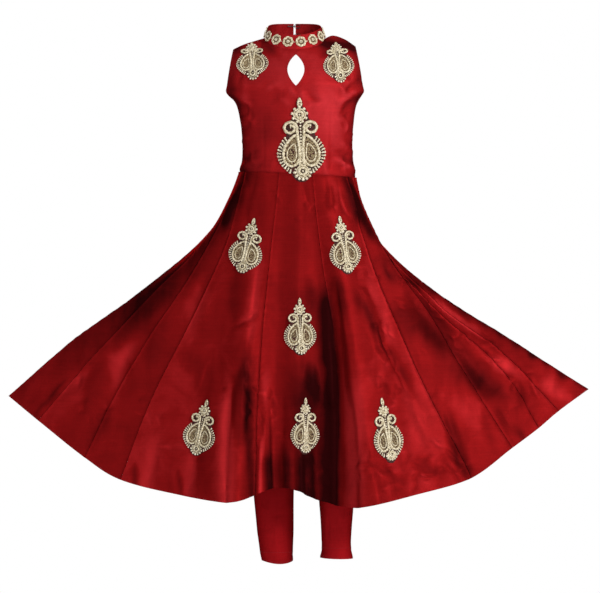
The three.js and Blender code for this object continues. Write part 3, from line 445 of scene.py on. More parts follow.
BACK_LINES = [
    ("right side", 90, 525, 0, -620, 0.068, 0.295, 0.645),
    ("back seam 1", 120, 375, 62, -715, 0.17, 0.44, 0.74),
    ("back seam 2", 150, 190, 118, -778, 0.22, 0.49, 0.77),
    ("back seam 3", 180, 0, 148, -785, 0.25, 0.5, 0.78),
    ("back seam 4", 210, -190, 118, -778, 0.22, 0.49, 0.77),
    ("back seam 5", 240, -370, 62, -722, 0.18, 0.46, 0.76),
    ("left side", 270, -518, 0, -632, 0.115, 0.385, 0.72),
]
FRONT_LINES = [dict(zip(LINE_COLUMNS, row)) for row in FRONT_LINES]
BACK_LINES = [dict(zip(LINE_COLUMNS, row)) for row in BACK_LINES]
FORWARD_POWER = 1.15

FRONT_GORES = [
    ("gore_front_left_d", 0, 1, 16),
    ("gore_front_left_c", 1, 2, 26),
    ("gore_front_left_b", 2, 3, 22),
    ("gore_front_left_a", 3, 6, 66),
    ("gore_front_centre", 6, 10, 44),
    ("gore_front_right_a", 10, 13, 66),
    ("gore_front_right_b", 13, 14, 24),
    ("gore_front_right_c", 14, 15, 16),
    ("gore_front_right_d", 15, 16, 14),
    ("gore_front_right_e", 16, 17, 16),
]
BACK_GORES = [
    ("gore_back_right_c", 0, 1, 34),
    ("gore_back_right_b", 1, 2, 38),
    ("gore_back_right_a", 2, 3, 38),
    ("gore_back_left_a", 3, 4, 38),
    ("gore_back_left_b", 4, 5, 38),
    ("gore_back_left_c", 5, 6, 34),
]

LEFT_LEG = [
    {"z": -930, "x": -34.5, "y": 4, "wide": 28, "deep": 29},
    {"z": -916, "x": -36, "y": 4, "wide": 29.5, "deep": 31},
    {"z": -876, "x": -38, "y": 5, "wide": 33, "deep": 35},
    {"z": -811, "x": -41, "y": 7, "wide": 36, "deep": 39},
    {"z": -740, "x": -43, "y": 7, "wide": 40, "deep": 43},
    {"z": -640, "x": -47, "y": 4, "wide": 43, "deep": 46},
    {"z": -530, "x": -53, "y": 2, "wide": 52, "deep": 55},
    {"z": -425, "x": -54.8, "y": 0, "wide": 56.6, "deep": 64},
]
RIGHT_LEG = [
    {"z": -922, "x": 72, "y": 2, "wide": 29.5, "deep": 30},
    {"z": -911, "x": 72, "y": 2, "wide": 27, "deep": 29},
    {"z": -890, "x": 71.5, "y": 3, "wide": 26.5, "deep": 30},
    {"z": -827, "x": 72, "y": 6, "wide": 31, "deep": 35},
    {"z": -740, "x": 70, "y": 6, "wide": 37, "deep": 41},
    {"z": -640, "x": 65, "y": 4, "wide": 43, "deep": 46},
    {"z": -530, "x": 60, "y": 2, "wide": 52, "deep": 55},
    {"z": -425, "x": 58.8, "y": 0, "wide": 56.6, "deep": 64},
]
SEAT_CENTRE = 2
FORK_Z = -425
SEAT_TOP = -262
SEAT = [
    {"z": -425, "wide": 113, "front": 70, "back": 68},
    {"z": -350, "wide": 109, "front": 75, "back": 71},
    {"z": -297, "wide": 103, "front": 72, "back": 66},
    {"z": -262, "wide": 101.6, "front": 71.6, "back": 63.6},
]
CLOTH = 1.3
print("lines down the skirt:", len(FRONT_LINES) + len(BACK_LINES) - 2)

# %% [markdown]
# ## Creases
# Silk that has been folded and pulled keeps creases. Each is a short line across the front view with a width and
# a height: a ridge is positive, a trough negative. A little bow stops it looking ruled, and its two end strengths
# say whether it dies away or runs off an edge. The back has the same kind of creases in its own table.

# %% Creases
CREASE_COLUMNS = ("x0", "z0", "x1", "z1", "width", "height", "bow", "start", "end")
SKIRT_CREASES = [
    (50, -400, 64, -640, 11, -6, 3, 0, 1),
    (62, -560, 66, -828, 13, -12, -2, 0.3, 1),
    (-60, -300, -88, -560, 9, 4, -3, 0, 0.2),
    (-112, -512, -58, -484, 4, -2.6, 3, 0.2, 0),
    (-110, -505, -62, -470, 5, 2.2, 3, 0.2, 0),
    (-90, -560, -98, -730, 10, -8, 5, 0, 0),
    (-112, -590, -128, -818, 9, 7, 4, 0, 1),
    (-134, -740, -130, -822, 3.5, -3, 0, 0, 1),
    (-240, -690, -268, -792, 12, 4, 4, 0, 1),
    (-176, -700, -196, -806, 12, 4.5, -3, 0, 1),
    (-150, -560, -168, -640, 14, -3, 5, 0, 0),
    (-50, -640, -47, -796, 5, -4.5, 2, 0, 1),
    (-62, -690, -64, -803, 6, 4, 0, 0, 1),
    (-20, -700, -16, -795, 5, -3.5, -2, 0, 1),
    (-6, -690, -4, -794, 5, 3.5, 0, 0, 1),
    (8, -720, 8, -800, 4.5, -3, 1, 0, 1),
    (34, -640, 38, -812, 7, 4.5, 2, 0, 1),
    (-13, -470, -9, -552, 4, -2.4, 2, 0, 0),
    (26, -560, 40, -650, 12, -5, 4, 0, 0),
    (70, -400, 88, -640, 8, 5, 4, 0, 0.3),
    (90, -600, 100, -820, 10, 5, -4, 0, 1),
    (139, -500, 180, -590, 2.6, 2.2, 3, 0.3, 0.6),
    (180, -590, 196, -628, 2.4, 2, -1, 0.6, 0),
    (133, -505, 174, -592, 6, -2.6, 3, 0.2, 0),
    (110, -430, 150, -560, 12, -5, -6, 0, 0),
    (150, -600, 170, -640, 5, -2, 2, 0, 0),
    (262, -640, 302, -762, 9, -4, 4, 0, 1),
    (190, -420, 300, -560, 18, -7, 10, 0, 0.3),
    (230, -450, 350, -540, 15, 6, -8, 0, 0),
    (300, -560, 380, -640, 20, -7, 8, 0.3, 0),
    (330, -560, 400, -600, 14, 4, -4, 0, 0),
    (178, -416, 206, -432, 3, -2.4, 2, 0, 0),
    (196, -408, 186, -440, 3, 1.8, 1, 0, 0),
    (206, -430, 226, -452, 3.5, -2, 2, 0, 0),
    (258, -716, 304, -760, 4, -2.6, 4, 0, 0),
    (272, -772, 312, -738, 3.5, 2.2, 3, 0, 0),
    (256, -744, 290, -792, 3.5, -2.2, -3, 0, 0.6),
    (236, -700, 262, -722, 4, 2, 2, 0, 0),
    (132, -748, 182, -766, 4, -2.2, 3, 0, 0),
    (140, -792, 186, -776, 3.5, 2, 2, 0, 0),
    (158, -758, 170, -800, 3.2, -2, -2, 0, 0.7),
    (196, -740, 232, -764, 4, -2, 3, 0, 0),
    (356, -640, 392, -700, 5, -2.2, 3, 0, 0),
    (392, -600, 404, -662, 7, -3, -3, 0, 0),
    (420, -596, 436, -640, 5, 2.4, 2, 0, 0),
    (-280, -520, -330, -640, 14, 4, 8, 0, 0),
    (-330, -560, -372, -660, 16, -5, 8, 0, 0.2),
    (-220, -470, -262, -600, 16, -4, 8, 0, 0),
    (-360, -580, -430, -640, 12, 4, 6, 0, 0),
    (-150, -400, -196, -520, 14, 4, 6, 0, 0),
    (-96, -260, -128, -350, 10, -4, 4, 0.4, 0),
    (88, -250, 108, -330, 8, -5, -3, 0.5, 0),
    (76, -262, 96, -318, 6, 3, 2, 0.3, 0),
    (-70, -258, -84, -330, 8, -2.6, 2, 0.4, 0),
    (58, -250, 66, -306, 5, -2.4, 1, 0.5, 0),
]
BODICE_CREASES = [
    (116, -84, 70, -118, 6, 3, 4, 0.8, 0),
    (112, -98, 74, -138, 6, -2.6, 4, 0.6, 0),
    (112, -66, 86, -96, 5, -2.4, 3, 0.7, 0),
    (-122, -86, -78, -120, 7, 2.6, -4, 0.8, 0),
    (-112, -104, -72, -146, 7, -2.2, -4, 0.6, 0),
    (104, -226, 60, -206, 5, 2.6, 3, 0.8, 0),
    (104, -214, 64, -190, 5, -2.2, 3, 0.7, 0),
    (104, -196, 74, -176, 5, 1.8, 2, 0.6, 0),
    (-100, -224, -60, -208, 6, 2.2, -3, 0.8, 0),
    (-98, -210, -64, -190, 6, -2, -3, 0.6, 0),
    (-14, -84, -52, -118, 6, -1.8, 4, 0, 0),
    (-24, -70, -58, -92, 6, 1.6, 3, 0, 0),
    (16, -80, 44, -112, 6, -1.5, 3, 0, 0),
    (60, -108, 60, -224, 2.2, -0.9, 1, 0, 1),
    (-60, -112, -58, -224, 2.2, -0.6, -1, 0, 1),
    (52, -232, 46, -200, 5, 1.5, 0, 0.8, 0),
    (-44, -232, -40, -204, 5, 1.5, 0, 0.8, 0),
    (88, -40, 100, -72, 5, -1.8, 2, 0.4, 0),
    (-92, -40, -104, -76, 5, -1.8, 2, 0.4, 0),
    (6, -14, -2, -26, 3, 1.2, 0, 0.5, 0),
]
BACK_CREASES = [
    (-60, -300, -110, -560, 14, 5, 6, 0, 0),
    (70, -310, 120, -600, 14, -5, 6, 0, 0),
    (-150, -560, -190, -786, 16, 7, 6, 0, 1),
    (150, -540, 186, -784, 16, 7, -6, 0, 1),
    (-30, -600, -40, -788, 14, -6, 4, 0, 1),
    (60, -620, 66, -790, 14, -6, -3, 0, 1),
    (12, -560, 10, -788, 14, 6, 2, 0, 1),
    (-260, -560, -330, -700, 16, -5, 8, 0, 0.4),
    (250, -540, 320, -690, 16, 6, -8, 0, 0.4),
    (-220, -430, -300, -540, 14, 4, -6, 0, 0),
    (200, -420, 290, -530, 14, -5, 6, 0, 0),
    (-90, -250, -120, -340, 9, -3, 3, 0.5, 0),
    (84, -252, 108, -340, 9, -3, -3, 0.5, 0),
    (-340, -600, -380, -690, 8, 3, 4, 0, 0),
    (350, -590, 400, -660, 8, -3, 4, 0, 0),
    (-120, -720, -90, -760, 4, -2, 3, 0, 0),
    (210, -700, 240, -740, 4, 2, 3, 0, 0),
    (110, -86, 66, -122, 7, 2.4, 4, 0.8, 0),
    (-114, -86, -68, -124, 7, 2.4, -4, 0.8, 0),
    (102, -222, 58, -204, 6, 2.2, 3, 0.8, 0),
    (-98, -222, -56, -204, 6, 2.2, -3, 0.8, 0),
    (60, -120, 58, -226, 2.2, -0.8, 0, 0, 1),
    (-60, -120, -60, -226, 2.2, -0.8, 0, 0, 1),
]


TAPER = 0.42


def crease_height(table, x, z):
    """Sum of soft strokes at places x, z. Each dies away towards an end whose strength is 0 and narrows with it."""
    total = np.zeros(np.broadcast(x, z).shape)
    for row in table:
        c = dict(zip(CREASE_COLUMNS, row))
        dx, dz = c["x1"] - c["x0"], c["z1"] - c["z0"]
        length = math.hypot(dx, dz)
        t = ((x - c["x0"]) * dx + (z - c["z0"]) * dz) / length**2
        side = ((x - c["x0"]) * dz - (z - c["z0"]) * dx) / length
        inside = np.clip(t, 0, 1)
        side = side - c["bow"] * 4 * inside * (1 - inside)
        beyond = (t - inside) * length
        fade = mix(c["start"], 1, smooth(inside / TAPER)) * mix(c["end"], 1, smooth((1 - inside) / TAPER))
        width = c["width"] * (0.55 + 0.45 * fade)
        total += c["height"] * fade * np.exp(-((side / width) ** 2) - (beyond / c["width"]) ** 2)
    return total


# Painted shade (positive) and painted highlights (negative) on the silk of the skirt front, its back and the bodice,
# in soft strokes like the creases.
SKIRT_SHADES = [
    (-92, -230, -122, -300, 20, 0.75, 3, 1, 0.7),
    (-118, -290, -175, -345, 22, 0.5, -3, 0.7, 0.7),
    (-150, -335, -360, -560, 30, 0.62, -8, 0.5, 0.2),
    (-170, -330, -480, -600, 30, 0.3, -6, 0.6, 0.4),
    (-395, -590, -468, -664, 5, 0.35, 3, 0, 0.6),
    (-174, -420, -420, -664, 18, -0.14, 5, 0, 0.5),
    (-330, -640, -366, -716, 13, 0.3, -3, 0.1, 0.5),
    (-288, -748, -286, -792, 5, 0.4, 0, 0, 1),
    (-206, -750, -203, -806, 5, 0.4, 0, 0, 1),
    (-200, -520, -168, -600, 20, 0.22, 4, 0, 0),
    (-184, -634, -146, -556, 4, -0.2, 2, 0, 0),
    (-121, -560, -119, -812, 14, -0.22, 3, 0, 1),
    (-150, -600, -170, -780, 16, 0.16, 3, 0, 1),
    (-96, -380, -112, -520, 14, 0.25, 5, 0, 0),
    (-86, -520, -84, -640, 13, 0.42, 5, 0, 0.5),
    (-84, -620, -78, -806, 9, 0.6, 3, 0.5, 1),
    (-60, -250, -72, -420, 12, 0.14, 0, 0.5, 0),
    (6, -234, 4, -420, 44, 0.12, 0, 1, 0.4),
    (22, -412, 34, -520, 22, 0.3, 0, 0, 0.6),
    (50, -420, 54, -560, 14, 0.6, -3, 0, 1),
    (65, -500, 64, -830, 13, 0.9, -3, 0.2, 1),
    (20, -550, 18, -640, 30, 0.32, 0, 0, 1),
    (20, -650, 22, -812, 36, 0.58, 0, 0.8, 1),
    (-52, -570, -54, -660, 8, -0.25, 0, 0, 0),
    (-58, -640, -60, -806, 4, -0.2, 0, 0, 1),
    (-50, -710, -50, -803, 7, 0.5, 0, 0, 1),
    (-12, -470, -9, -552, 4, 0.3, 2, 0, 0),
    (92, -230, 112, -316, 15, 0.72, -3, 1, 0.6),
    (60, -236, 66, -290, 10, -0.15, 0, 0.5, 0),
    (114, -306, 158, -362, 8, 0.85, 3, 0.9, 0.9),
    (156, -360, 206, -420, 9, 0.85, -2, 0.9, 0.9),
    (204, -418, 298, -474, 9, 0.9, -3, 0.9, 0.9),
    (294, -472, 436, -560, 9, 0.9, -2, 0.9, 0.9),
    (430, -556, 522, -616, 7, 0.8, 0, 0.9, 0.7),
    (140, -362, 196, -440, 14, 0.35, 6, 0.2, 0.2),
    (150, -396, 176, -420, 5, 0.3, 2, 0, 0),
    (162, -452, 250, -536, 19, 0.32, 6, 0, 0.6),
    (240, -524, 318, -604, 20, 0.27, 5, 0.6, 0.6),
    (300, -592, 388, -632, 17, 0.26, 3, 0.6, 0.2),
    (-30, -716, -20, -806, 26, 0.3, 0, 0, 1),
    (34, -700, 40, -812, 16, 0.35, 0, 0, 1),
    (196, -432, 344, -532, 15, -0.3, -5, 0, 0),
    (216, -590, 352, -694, 26, -0.22, 4, 0, 0.2),
    (124, -400, 176, -560, 12, -0.25, 5, 0, 0),
    (420, -600, 508, -652, 15, -0.25, -4, 0.2, 0.3),
    (352, -560, 420, -616, 9, -0.16, -4, 0, 0),
    (96, -420, 152, -532, 9, 0.4, 5, 0, 0.4),
    (150, -528, 212, -636, 8, 0.35, -3, 0.4, 0),
    (70, -400, 92, -500, 9, 0.45, 4, 0, 0.2),
    (104, -560, 108, -812, 15, -0.24, 0, 0, 0.6),
    (206, -730, 262, -776, 10, 0.32, 4, 0, 0),
    (262, -690, 308, -786, 7, 0.45, 3, 0, 0.8),
    (150, -744, 196, -788, 8, 0.25, 4, 0, 0),
    (386, -676, 420, -724, 7, 0.35, 3, 0, 0.5),
    (330, -640, 350, -720, 9, 0.2, 3, 0, 0.4),
]
BACK_SHADES = [
    (90, -236, 120, -330, 20, 0.6, -4, 1, 0.4),
    (-92, -236, -124, -330, 20, 0.6, 4, 1, 0.4),
    (190, -398, 440, -570, 16, 0.6, 6, 0.9, 0.9),
    (-190, -398, -440, -570, 18, 0.6, -6, 0.9, 0.9),
    (30, -420, 50, -780, 18, 0.5, 4, 0.2, 1),
    (-70, -500, -96, -786, 16, 0.6, 4, 0, 1),
    (-130, -500, -160, -780, 18, -0.25, 4, 0, 1),
    (110, -480, 140, -780, 20, -0.25, 4, 0, 1),
    (180, -560, 230, -770, 18, 0.5, -5, 0, 1),
    (-230, -560, -280, -750, 20, 0.5, 5, 0, 0.8),
    (290, -560, 370, -680, 24, 0.4, 5, 0, 0.3),
    (-330, -560, -400, -660, 22, -0.25, 5, 0, 0.3),
]
BODICE_SHADES = [
    (-112, -90, -104, -232, 12, 0.45, 0, 0.8, 1),
    (114, -90, 108, -232, 8, 0.35, 0, 0.8, 1),
    (-60, -100, -64, -232, 44, 0.16, 0, 0.6, 1),
    (-70, -200, -96, -234, 12, 0.25, 0, 0.3, 1),
    (-106, -6, -116, -80, 9, 0.35, 3, 1, 0.8),
    (102, -6, 112, -70, 8, 0.35, -3, 1, 0.8),
    (-70, -12, -96, -30, 12, 0.14, 0, 0.3, 0.3),
    (56, -60, 70, -200, 30, -0.14, 0, 0, 0),
    (44, 4, 96, -4, 11, 0.8, 3, 0.7, 0.8),
    (48, -12, 54, -28, 9, 0.35, 0, 0.6, 0),
    (-58, 2, -34, -24, 9, 0.4, 0, 0.4, 0.2),
    (-20, -118, -74, -186, 34, 0.12, 0, 0, 0),
]


def gentle_waves(x, z, seed):
    """Low uneven swell of the cloth, a few millimetres deep at most, from a fixed seed."""
    rng = np.random.default_rng(seed)
    total = np.zeros(np.broadcast(x, z).shape)
    for _ in range(9):
        length = rng.uniform(45, 150)
        turn = rng.uniform(-0.5, 0.5)
        phase = rng.uniform(0, 2 * math.pi)
        total += length / 150 * np.sin(2 * math.pi * (x * math.cos(turn) + z * math.sin(turn)) / length + phase)
    return total / 3


# Where crisp cloth breaks into short sharp crumples, scattered about a line, and how many there are.
CRUMPLE_COLUMNS = ("x0", "z0", "x1", "z1", "spread", "count")
SKIRT_CRUMPLES = [
    (120, -752, 300, -772, 16, 34),
    (190, -450, 410, -610, 20, 34),
    (112, -400, 172, -640, 14, 26),
    (-112, -520, -66, -700, 16, 14),
    (-60, -640, 60, -780, 18, 14),
    (-430, -620, -150, -730, 24, 20),
    (-100, -262, 100, -300, 14, 12),
]
BODICE_CRUMPLES = [
    (96, -78, 88, -214, 13, 20),
    (-92, -90, -80, -222, 12, 12),
    (-40, -96, 40, -112, 10, 8),
]
BACK_CRUMPLES = [
    (-320, -560, 320, -720, 46, 44),
    (-80, -260, 80, -300, 16, 10),
]


def crumple_rows(table, seed):
    """Short strokes in the columns of a crease table, from a fixed seed."""
    rng = np.random.default_rng(seed)
    rows = []
    for row in table:
        c = dict(zip(CRUMPLE_COLUMNS, row))
        for _ in range(c["count"]):
            t = rng.uniform()
            x = mix(c["x0"], c["x1"], t) + rng.normal(0, c["spread"])
            z = mix(c["z0"], c["z1"], t) + rng.normal(0, c["spread"])
            half, turn = rng.uniform(8, 22), rng.uniform(0, math.pi)
            height = rng.choice((-1, 1)) * rng.uniform(0.9, 2.1)
            across, along = half * math.cos(turn), half * math.sin(turn)
            width, bow = rng.uniform(2.8, 4.6), rng.normal(0, 3)
            rows.append((x - across, z - along, x + across, z + along, width, height, bow, 0, 0))
    return rows


def painted_crease_shade(creased):
    """Painted shade in troughs and painted highlights on ridges, up to a limit for the widest of them."""
    return -0.26 * np.tanh(creased / 4.5)


# Painted shade of each front gore at its first and last seam, so that a seam shows as a small painted step of light.
GORE_SEAM_SHADES = {
    "gore_front_left_d": (0.08, 0.12),
    "gore_front_left_c": (0.0, 0.08),
    "gore_front_left_b": (0.0, 0.13),
    "gore_front_left_a": (-0.05, 0.06),
    "gore_front_centre": (0.04, 0.14),
    "gore_front_right_a": (0.08, -0.09),
    "gore_front_right_b": (0.16, 0.0),
    "gore_front_right_c": (0.1, 0.0),
    "gore_front_right_d": (0.12, 0.03),
    "gore_front_right_e": (0.12, 0.06),
}
RAGGED = 2.2
SHADE_MOST = 0.62
# Where the skirt faces sideways its painted shade strokes crowd together, so there they fade and the painted shade
# eases.
TURNED = {"none": 0.75, "full": 0.2, "fade": 0.85, "ease": 0.4}


def shade_tone(table, x, z):
    """Strokes of painted shade and painted highlight with ragged edges, the shade held below a greatest value."""
    ragged_x = x + RAGGED * gentle_waves(x * 3.4, z * 2.2, 61)
    ragged_z = z + 2 * RAGGED * gentle_waves(x * 2.4, z * 3.1, 67)
    tone = crease_height(table, ragged_x, ragged_z) * (1 + 0.1 * gentle_waves(x * 6, z * 4, 71))
    return np.where(tone > 0, SHADE_MOST * np.tanh(tone / SHADE_MOST), tone)


print("creases:", len(SKIRT_CREASES) + len(BODICE_CREASES) + len(BACK_CREASES))

# %% [markdown]
# ## Skirt
# A gore is a long wedge. Sixteen of them make this skirt, ten in front and six behind. A gore could be draped with
# a cloth simulation, but then its seams would not meet its neighbours. Here every gore is cut from one shared
# surface, so the seams meet, and each seam gets a narrow groove with the small puckers that a machine leaves.


# %% Skirt surface
def waist_point(angle):
    turn = np.radians(angle)
    cosine = np.cos(turn)
    deep = np.where(cosine > 0, WAIST["front"], WAIST["back"])
    x = WAIST["centre"] + WAIST["wide"] * np.sin(turn)
    y = -deep * signed_power(np.where(np.abs(cosine) < 1e-9, 0, cosine), SQUARENESS)
    return stack(x, y, WAIST["middle"] + WAIST["slant"] * x)


def out_part(line, v):
    marks = np.array([0, line["out1"], line["out2"], line["out3"], 1])
    i = np.clip(np.floor(v * 4).astype(int), 0, 3)
    before = np.where(i == 0, -marks[1] / 3, marks[np.maximum(i - 1, 0)])
    after = np.where(i == 3, 2 * marks[4] - marks[3], marks[np.minimum(i + 2, 4)])
    return through(before, marks[i], marks[i + 1], after, v * 4 - i)


def line_point(line, v):
    top = waist_point(line["angle"])
    out = out_part(line, v)
    forward = v**FORWARD_POWER
    return stack(mix(top[0], line["x"], out), mix(top[1], line["y"], forward), mix(top[2], line["z"], v))


def skirt_column(lines, u, v):
    i = min(len(lines) - 2, max(0, math.floor(u)))
    t = u - i
    p1, p2 = line_point(lines[i], v), line_point(lines[i + 1], v)
    p0 = line_point(lines[i - 1], v) if i > 0 else 2 * p1 - p2
    p3 = line_point(lines[i + 2], v) if i < len(lines) - 2 else 2 * p2 - p1
    column = through(p0, p1, p2, p3, t)
    ring = waist_point(mix(lines[i]["angle"], lines[i + 1]["angle"], t))
    chord = mix(waist_point(lines[i]["angle"]), waist_point(lines[i + 1]["angle"]), t)
    fade = (1 - v) ** 3
    column[:, 0] += (ring[0] - chord[0]) * fade
    column[:, 1] += (ring[1] - chord[1]) * fade
    column[v == 0] = ring
    return column


SEAM_GROOVE = 1.0
SEAM_WIDTH = 1.7
HEM_TURN_UP = 60.0


def skirt_grid(lines, first, last, columns, rows, creases, shades, seam_shades, seed):
    """Outer points of one gore and the painted shade at each point."""
    us = np.linspace(first, last, columns + 1)
    ease = np.linspace(0, 1, columns + 1)
    us = mix(us, first + (last - first) * (0.5 - 0.5 * np.cos(math.pi * ease)), 0.35)
    vs = np.linspace(0, 1, rows + 1)
    base = np.stack([skirt_column(lines, u, vs) for u in us], axis=1)
    normals = grid_normals(base)
    x, z = base[..., 0], base[..., 2]
    v = vs[:, None]
    creased = crease_height(creases, x, z) * smooth(v / 0.05)
    swell = gentle_waves(x, z, seed) * 1.1 * smooth(v / 0.25)
    steps = np.linalg.norm(np.diff(base, axis=1), axis=-1)
    walked = np.concatenate([np.zeros((rows + 1, 1)), np.cumsum(steps, axis=1)], axis=1)
    rng = np.random.default_rng(seed + 5)
    seam = np.zeros_like(x)
    along = np.cumsum(np.full(rows + 1, 590 / rows))[:, None]
    for distance, at_side in ((walked, first), (walked[:, -1:] - walked, last)):
        is_outer = at_side in (0, len(lines) - 1)
        groove = 0 if is_outer else SEAM_GROOVE
        seam -= groove * np.exp(-((distance / SEAM_WIDTH) ** 2))
        lengths = rng.uniform(13, 22, 3)
        ripple = sum(np.sin(2 * math.pi * along / length + rng.uniform(0, 6)) for length in lengths)
        seam += 0.22 * ripple * np.exp(-((distance / 9) ** 2)) * (1 - np.exp(-((distance / 1.2) ** 2)))
    from_hem = (1 - v) * 580
    hem = 0.35 * smooth((HEM_TURN_UP - from_hem) / 1.5 + 0.5) - 0.5 * np.exp(-(((from_hem - HEM_TURN_UP) / 1.4) ** 2))
    top = -1.1 * np.exp(-((v * 580 / 1.6) ** 2))
    moved = creased + swell + seam + hem + top
    points = base + normals * moved[..., None]
    # Painted shade: each gore lighter at one seam than at the other, strokes that fade where the cloth faces
    # sideways, troughs darker and ridges and swells lighter.
    gore_shade = mix(seam_shades[0], seam_shades[1], ease[None, :]) * smooth(v / 0.35)
    turned = smooth((TURNED["none"] - np.abs(normals[..., 1])) / (TURNED["none"] - TURNED["full"]))
    shaded = shade_tone(shades, x, z) * (1 - TURNED["fade"] * turned) - TURNED["ease"] * turned
    return points, painted_crease_shade(creased) - swell / 26 + shaded + gore_shade


# Rows down a gore, and the seeds of each side's waves and of each table's small creases.
FRONT_ROWS, BACK_ROWS = 170, 120
FRONT_SEED, BACK_SEED = 11, 23
CRUMPLE_SEEDS = {"skirt": 301, "bodice": 302, "back": 303}
# Painted shade of the back gores at their first and last seam.
BACK_SEAM_SHADES = (-0.04, 0.07)
SKIRT_CREASES += crumple_rows(SKIRT_CRUMPLES, CRUMPLE_SEEDS["skirt"])
BODICE_CREASES += crumple_rows(BODICE_CRUMPLES, CRUMPLE_SEEDS["bodice"])
BACK_CREASES += crumple_rows(BACK_CRUMPLES, CRUMPLE_SEEDS["back"])
gore_shells = {}
for name, first, last, columns in FRONT_GORES:
    points, painted_shade = skirt_grid(
        FRONT_LINES, first, last, columns, FRONT_ROWS, SKIRT_CREASES, SKIRT_SHADES, GORE_SEAM_SHADES[name], FRONT_SEED
    )
    piece = shell(name + "_cloth", points, CLOTH, SKIRT_SILK, painted_shade)
    wear(piece, "kurta_cloth", name)
    gore_shells[name] = (piece, points)
for name, first, last, columns in BACK_GORES:
    points, painted_shade = skirt_grid(
        BACK_LINES, first, last, columns, BACK_ROWS, BACK_CREASES, BACK_SHADES, BACK_SEAM_SHADES, BACK_SEED
    )
    piece = shell(name + "_cloth", points, CLOTH, SKIRT_SILK, painted_shade)
    wear(piece, "kurta_cloth", name)
    gore_shells[name] = (piece, points)
print("gores:", len(gore_shells), "area", round(sum(area_of(p) for _, p in gore_shells.values()), 3), "m2")

# %% [markdown]
# ## Bodice
# The front is one piece that rounds the body from side seam to side seam and rolls over the shoulders. Its
# leaf-shaped opening is cut through with a boolean, because a grid that bends round a leaf would pinch the cloth.
# The back is two panels that meet in a centre seam, with a drop-shaped opening above it.


# %% Bodice surface
def bodice_section(u, z, front):
    left = look_up(BODICE_SECTIONS, "z", "left", z)
    right = look_up(BODICE_SECTIONS, "z", "right", z)
    deep = look_up(BODICE_SECTIONS, "z", "front" if front else "back", z)
    sine, cosine = np.sin(u * math.pi / 2), np.abs(np.cos(u * math.pi / 2))
    cosine = np.where(np.abs(u) >= 1, 0, cosine)
    x = (right - left) / 2 + (right + left) / 2 * sine
    return stack(x, (-1 if front else 1) * deep * cosine**SQUARENESS, z)


def neck_plane(y):
    edge = np.where(y < 0, NECK["front_z"], NECK["back_z"])
    reach = np.where(y < 0, NECK["front"], NECK["back"])
    return mix(NECK["side_z"], edge, np.abs(y) / reach)


def bodice_top(u, front):
    inside = np.abs(u) < 0.5
    turn = np.clip(u / 0.5, -1, 1) * math.pi / 2
    y = (-NECK["front"] if front else NECK["back"]) * np.cos(turn)
    neck = stack(NECK["centre"] + NECK["wide"] * np.sin(turn), y, neck_plane(y))
    along = np.clip((np.abs(u) - 0.5) / 0.5, 0, 1)
    left = stack(look_up(SHOULDER, "part", "left_x", along), 0 * along, look_up(SHOULDER, "part", "left_z", along))
    right = stack(look_up(SHOULDER, "part", "right_x", along), 0 * along, look_up(SHOULDER, "part", "right_z", along))
    shoulder = np.where((u < 0)[..., None], left, right)
    return np.where(inside[..., None], neck, shoulder)


def bodice_surface(u, v, front):
    u, v = np.broadcast_arrays(u, v)
    low_part = np.clip(v / UNDERARM_ROW, 0, 1)
    low = bodice_section(u, mix(WAIST["middle"], UNDERARM_Z, low_part), front)
    low[..., 2] = mix(WAIST["middle"] + WAIST["slant"] * low[..., 0], UNDERARM_Z, low_part)
    part = np.clip((v - UNDERARM_ROW) / (1 - UNDERARM_ROW), 0, 1)
    start = bodice_section(u, np.full(u.shape, float(UNDERARM_Z)), front)
    high = mix(start, bodice_top(u, front), part[..., None])
    reach = -ARMHOLE["forward"] if front else ARMHOLE["backward"]
    high[..., 1] += reach * (0.25 + 0.75 * u * u) * (4 * part * (1 - part)) ** ARMHOLE["roundness"]
    return np.where((v > UNDERARM_ROW)[..., None], high, low)


def soften(points, times):
    """Rounds the hard turn where two rules meet, leaving the edges of the grid alone."""
    for _ in range(times):
        middle = points[1:-1, 1:-1]
        around = points[:-2, 1:-1] + points[2:, 1:-1] + points[1:-1, :-2] + points[1:-1, 2:]
        points = points.copy()
        points[1:-1, 1:-1] = mix(middle, around / 4, 0.6)
    return points


def bodice_relief(points, creases, seed, v):
    normals = grid_normals(points)
    x, z = points[..., 0], points[..., 2]
    edge = smooth(v / 0.03)
    creased = crease_height(creases, x, z)
    swell = gentle_waves(x, z, seed) * 0.5
    waist = -1.0 * np.exp(-(((z - WAIST["middle"] - WAIST["slant"] * x) / 1.7) ** 2))
    moved = (creased + swell) * mix(0.4, 1, edge) + waist
    # Painted shade and painted highlights on the bodice: troughs and positive strokes darker, ridges, swells and
    # negative strokes lighter.
    shade = crease_height(BODICE_SHADES, x, z)
    return points + normals * moved[..., None], painted_crease_shade(creased) - swell / 18 + shade


def edge_rows(count):
    return np.concatenate([np.linspace(0, UNDERARM_ROW, count + 1), np.linspace(UNDERARM_ROW, 1, count + 1)[1:]])


rows = edge_rows(46)[:, None]
front_base = soften(bodice_surface(np.linspace(-1, 1, 121)[None, :], rows, True), 10)
front_points, front_painted_shade = bodice_relief(front_base, BODICE_CREASES, 31, rows)
bodice_front = shell("bodice_front_cloth", front_points, CLOTH, BODICE_SILK, front_painted_shade)


def leaf_half(part):
    return KEYHOLE["half"] * np.sin(np.pi * part**0.95) ** 0.85


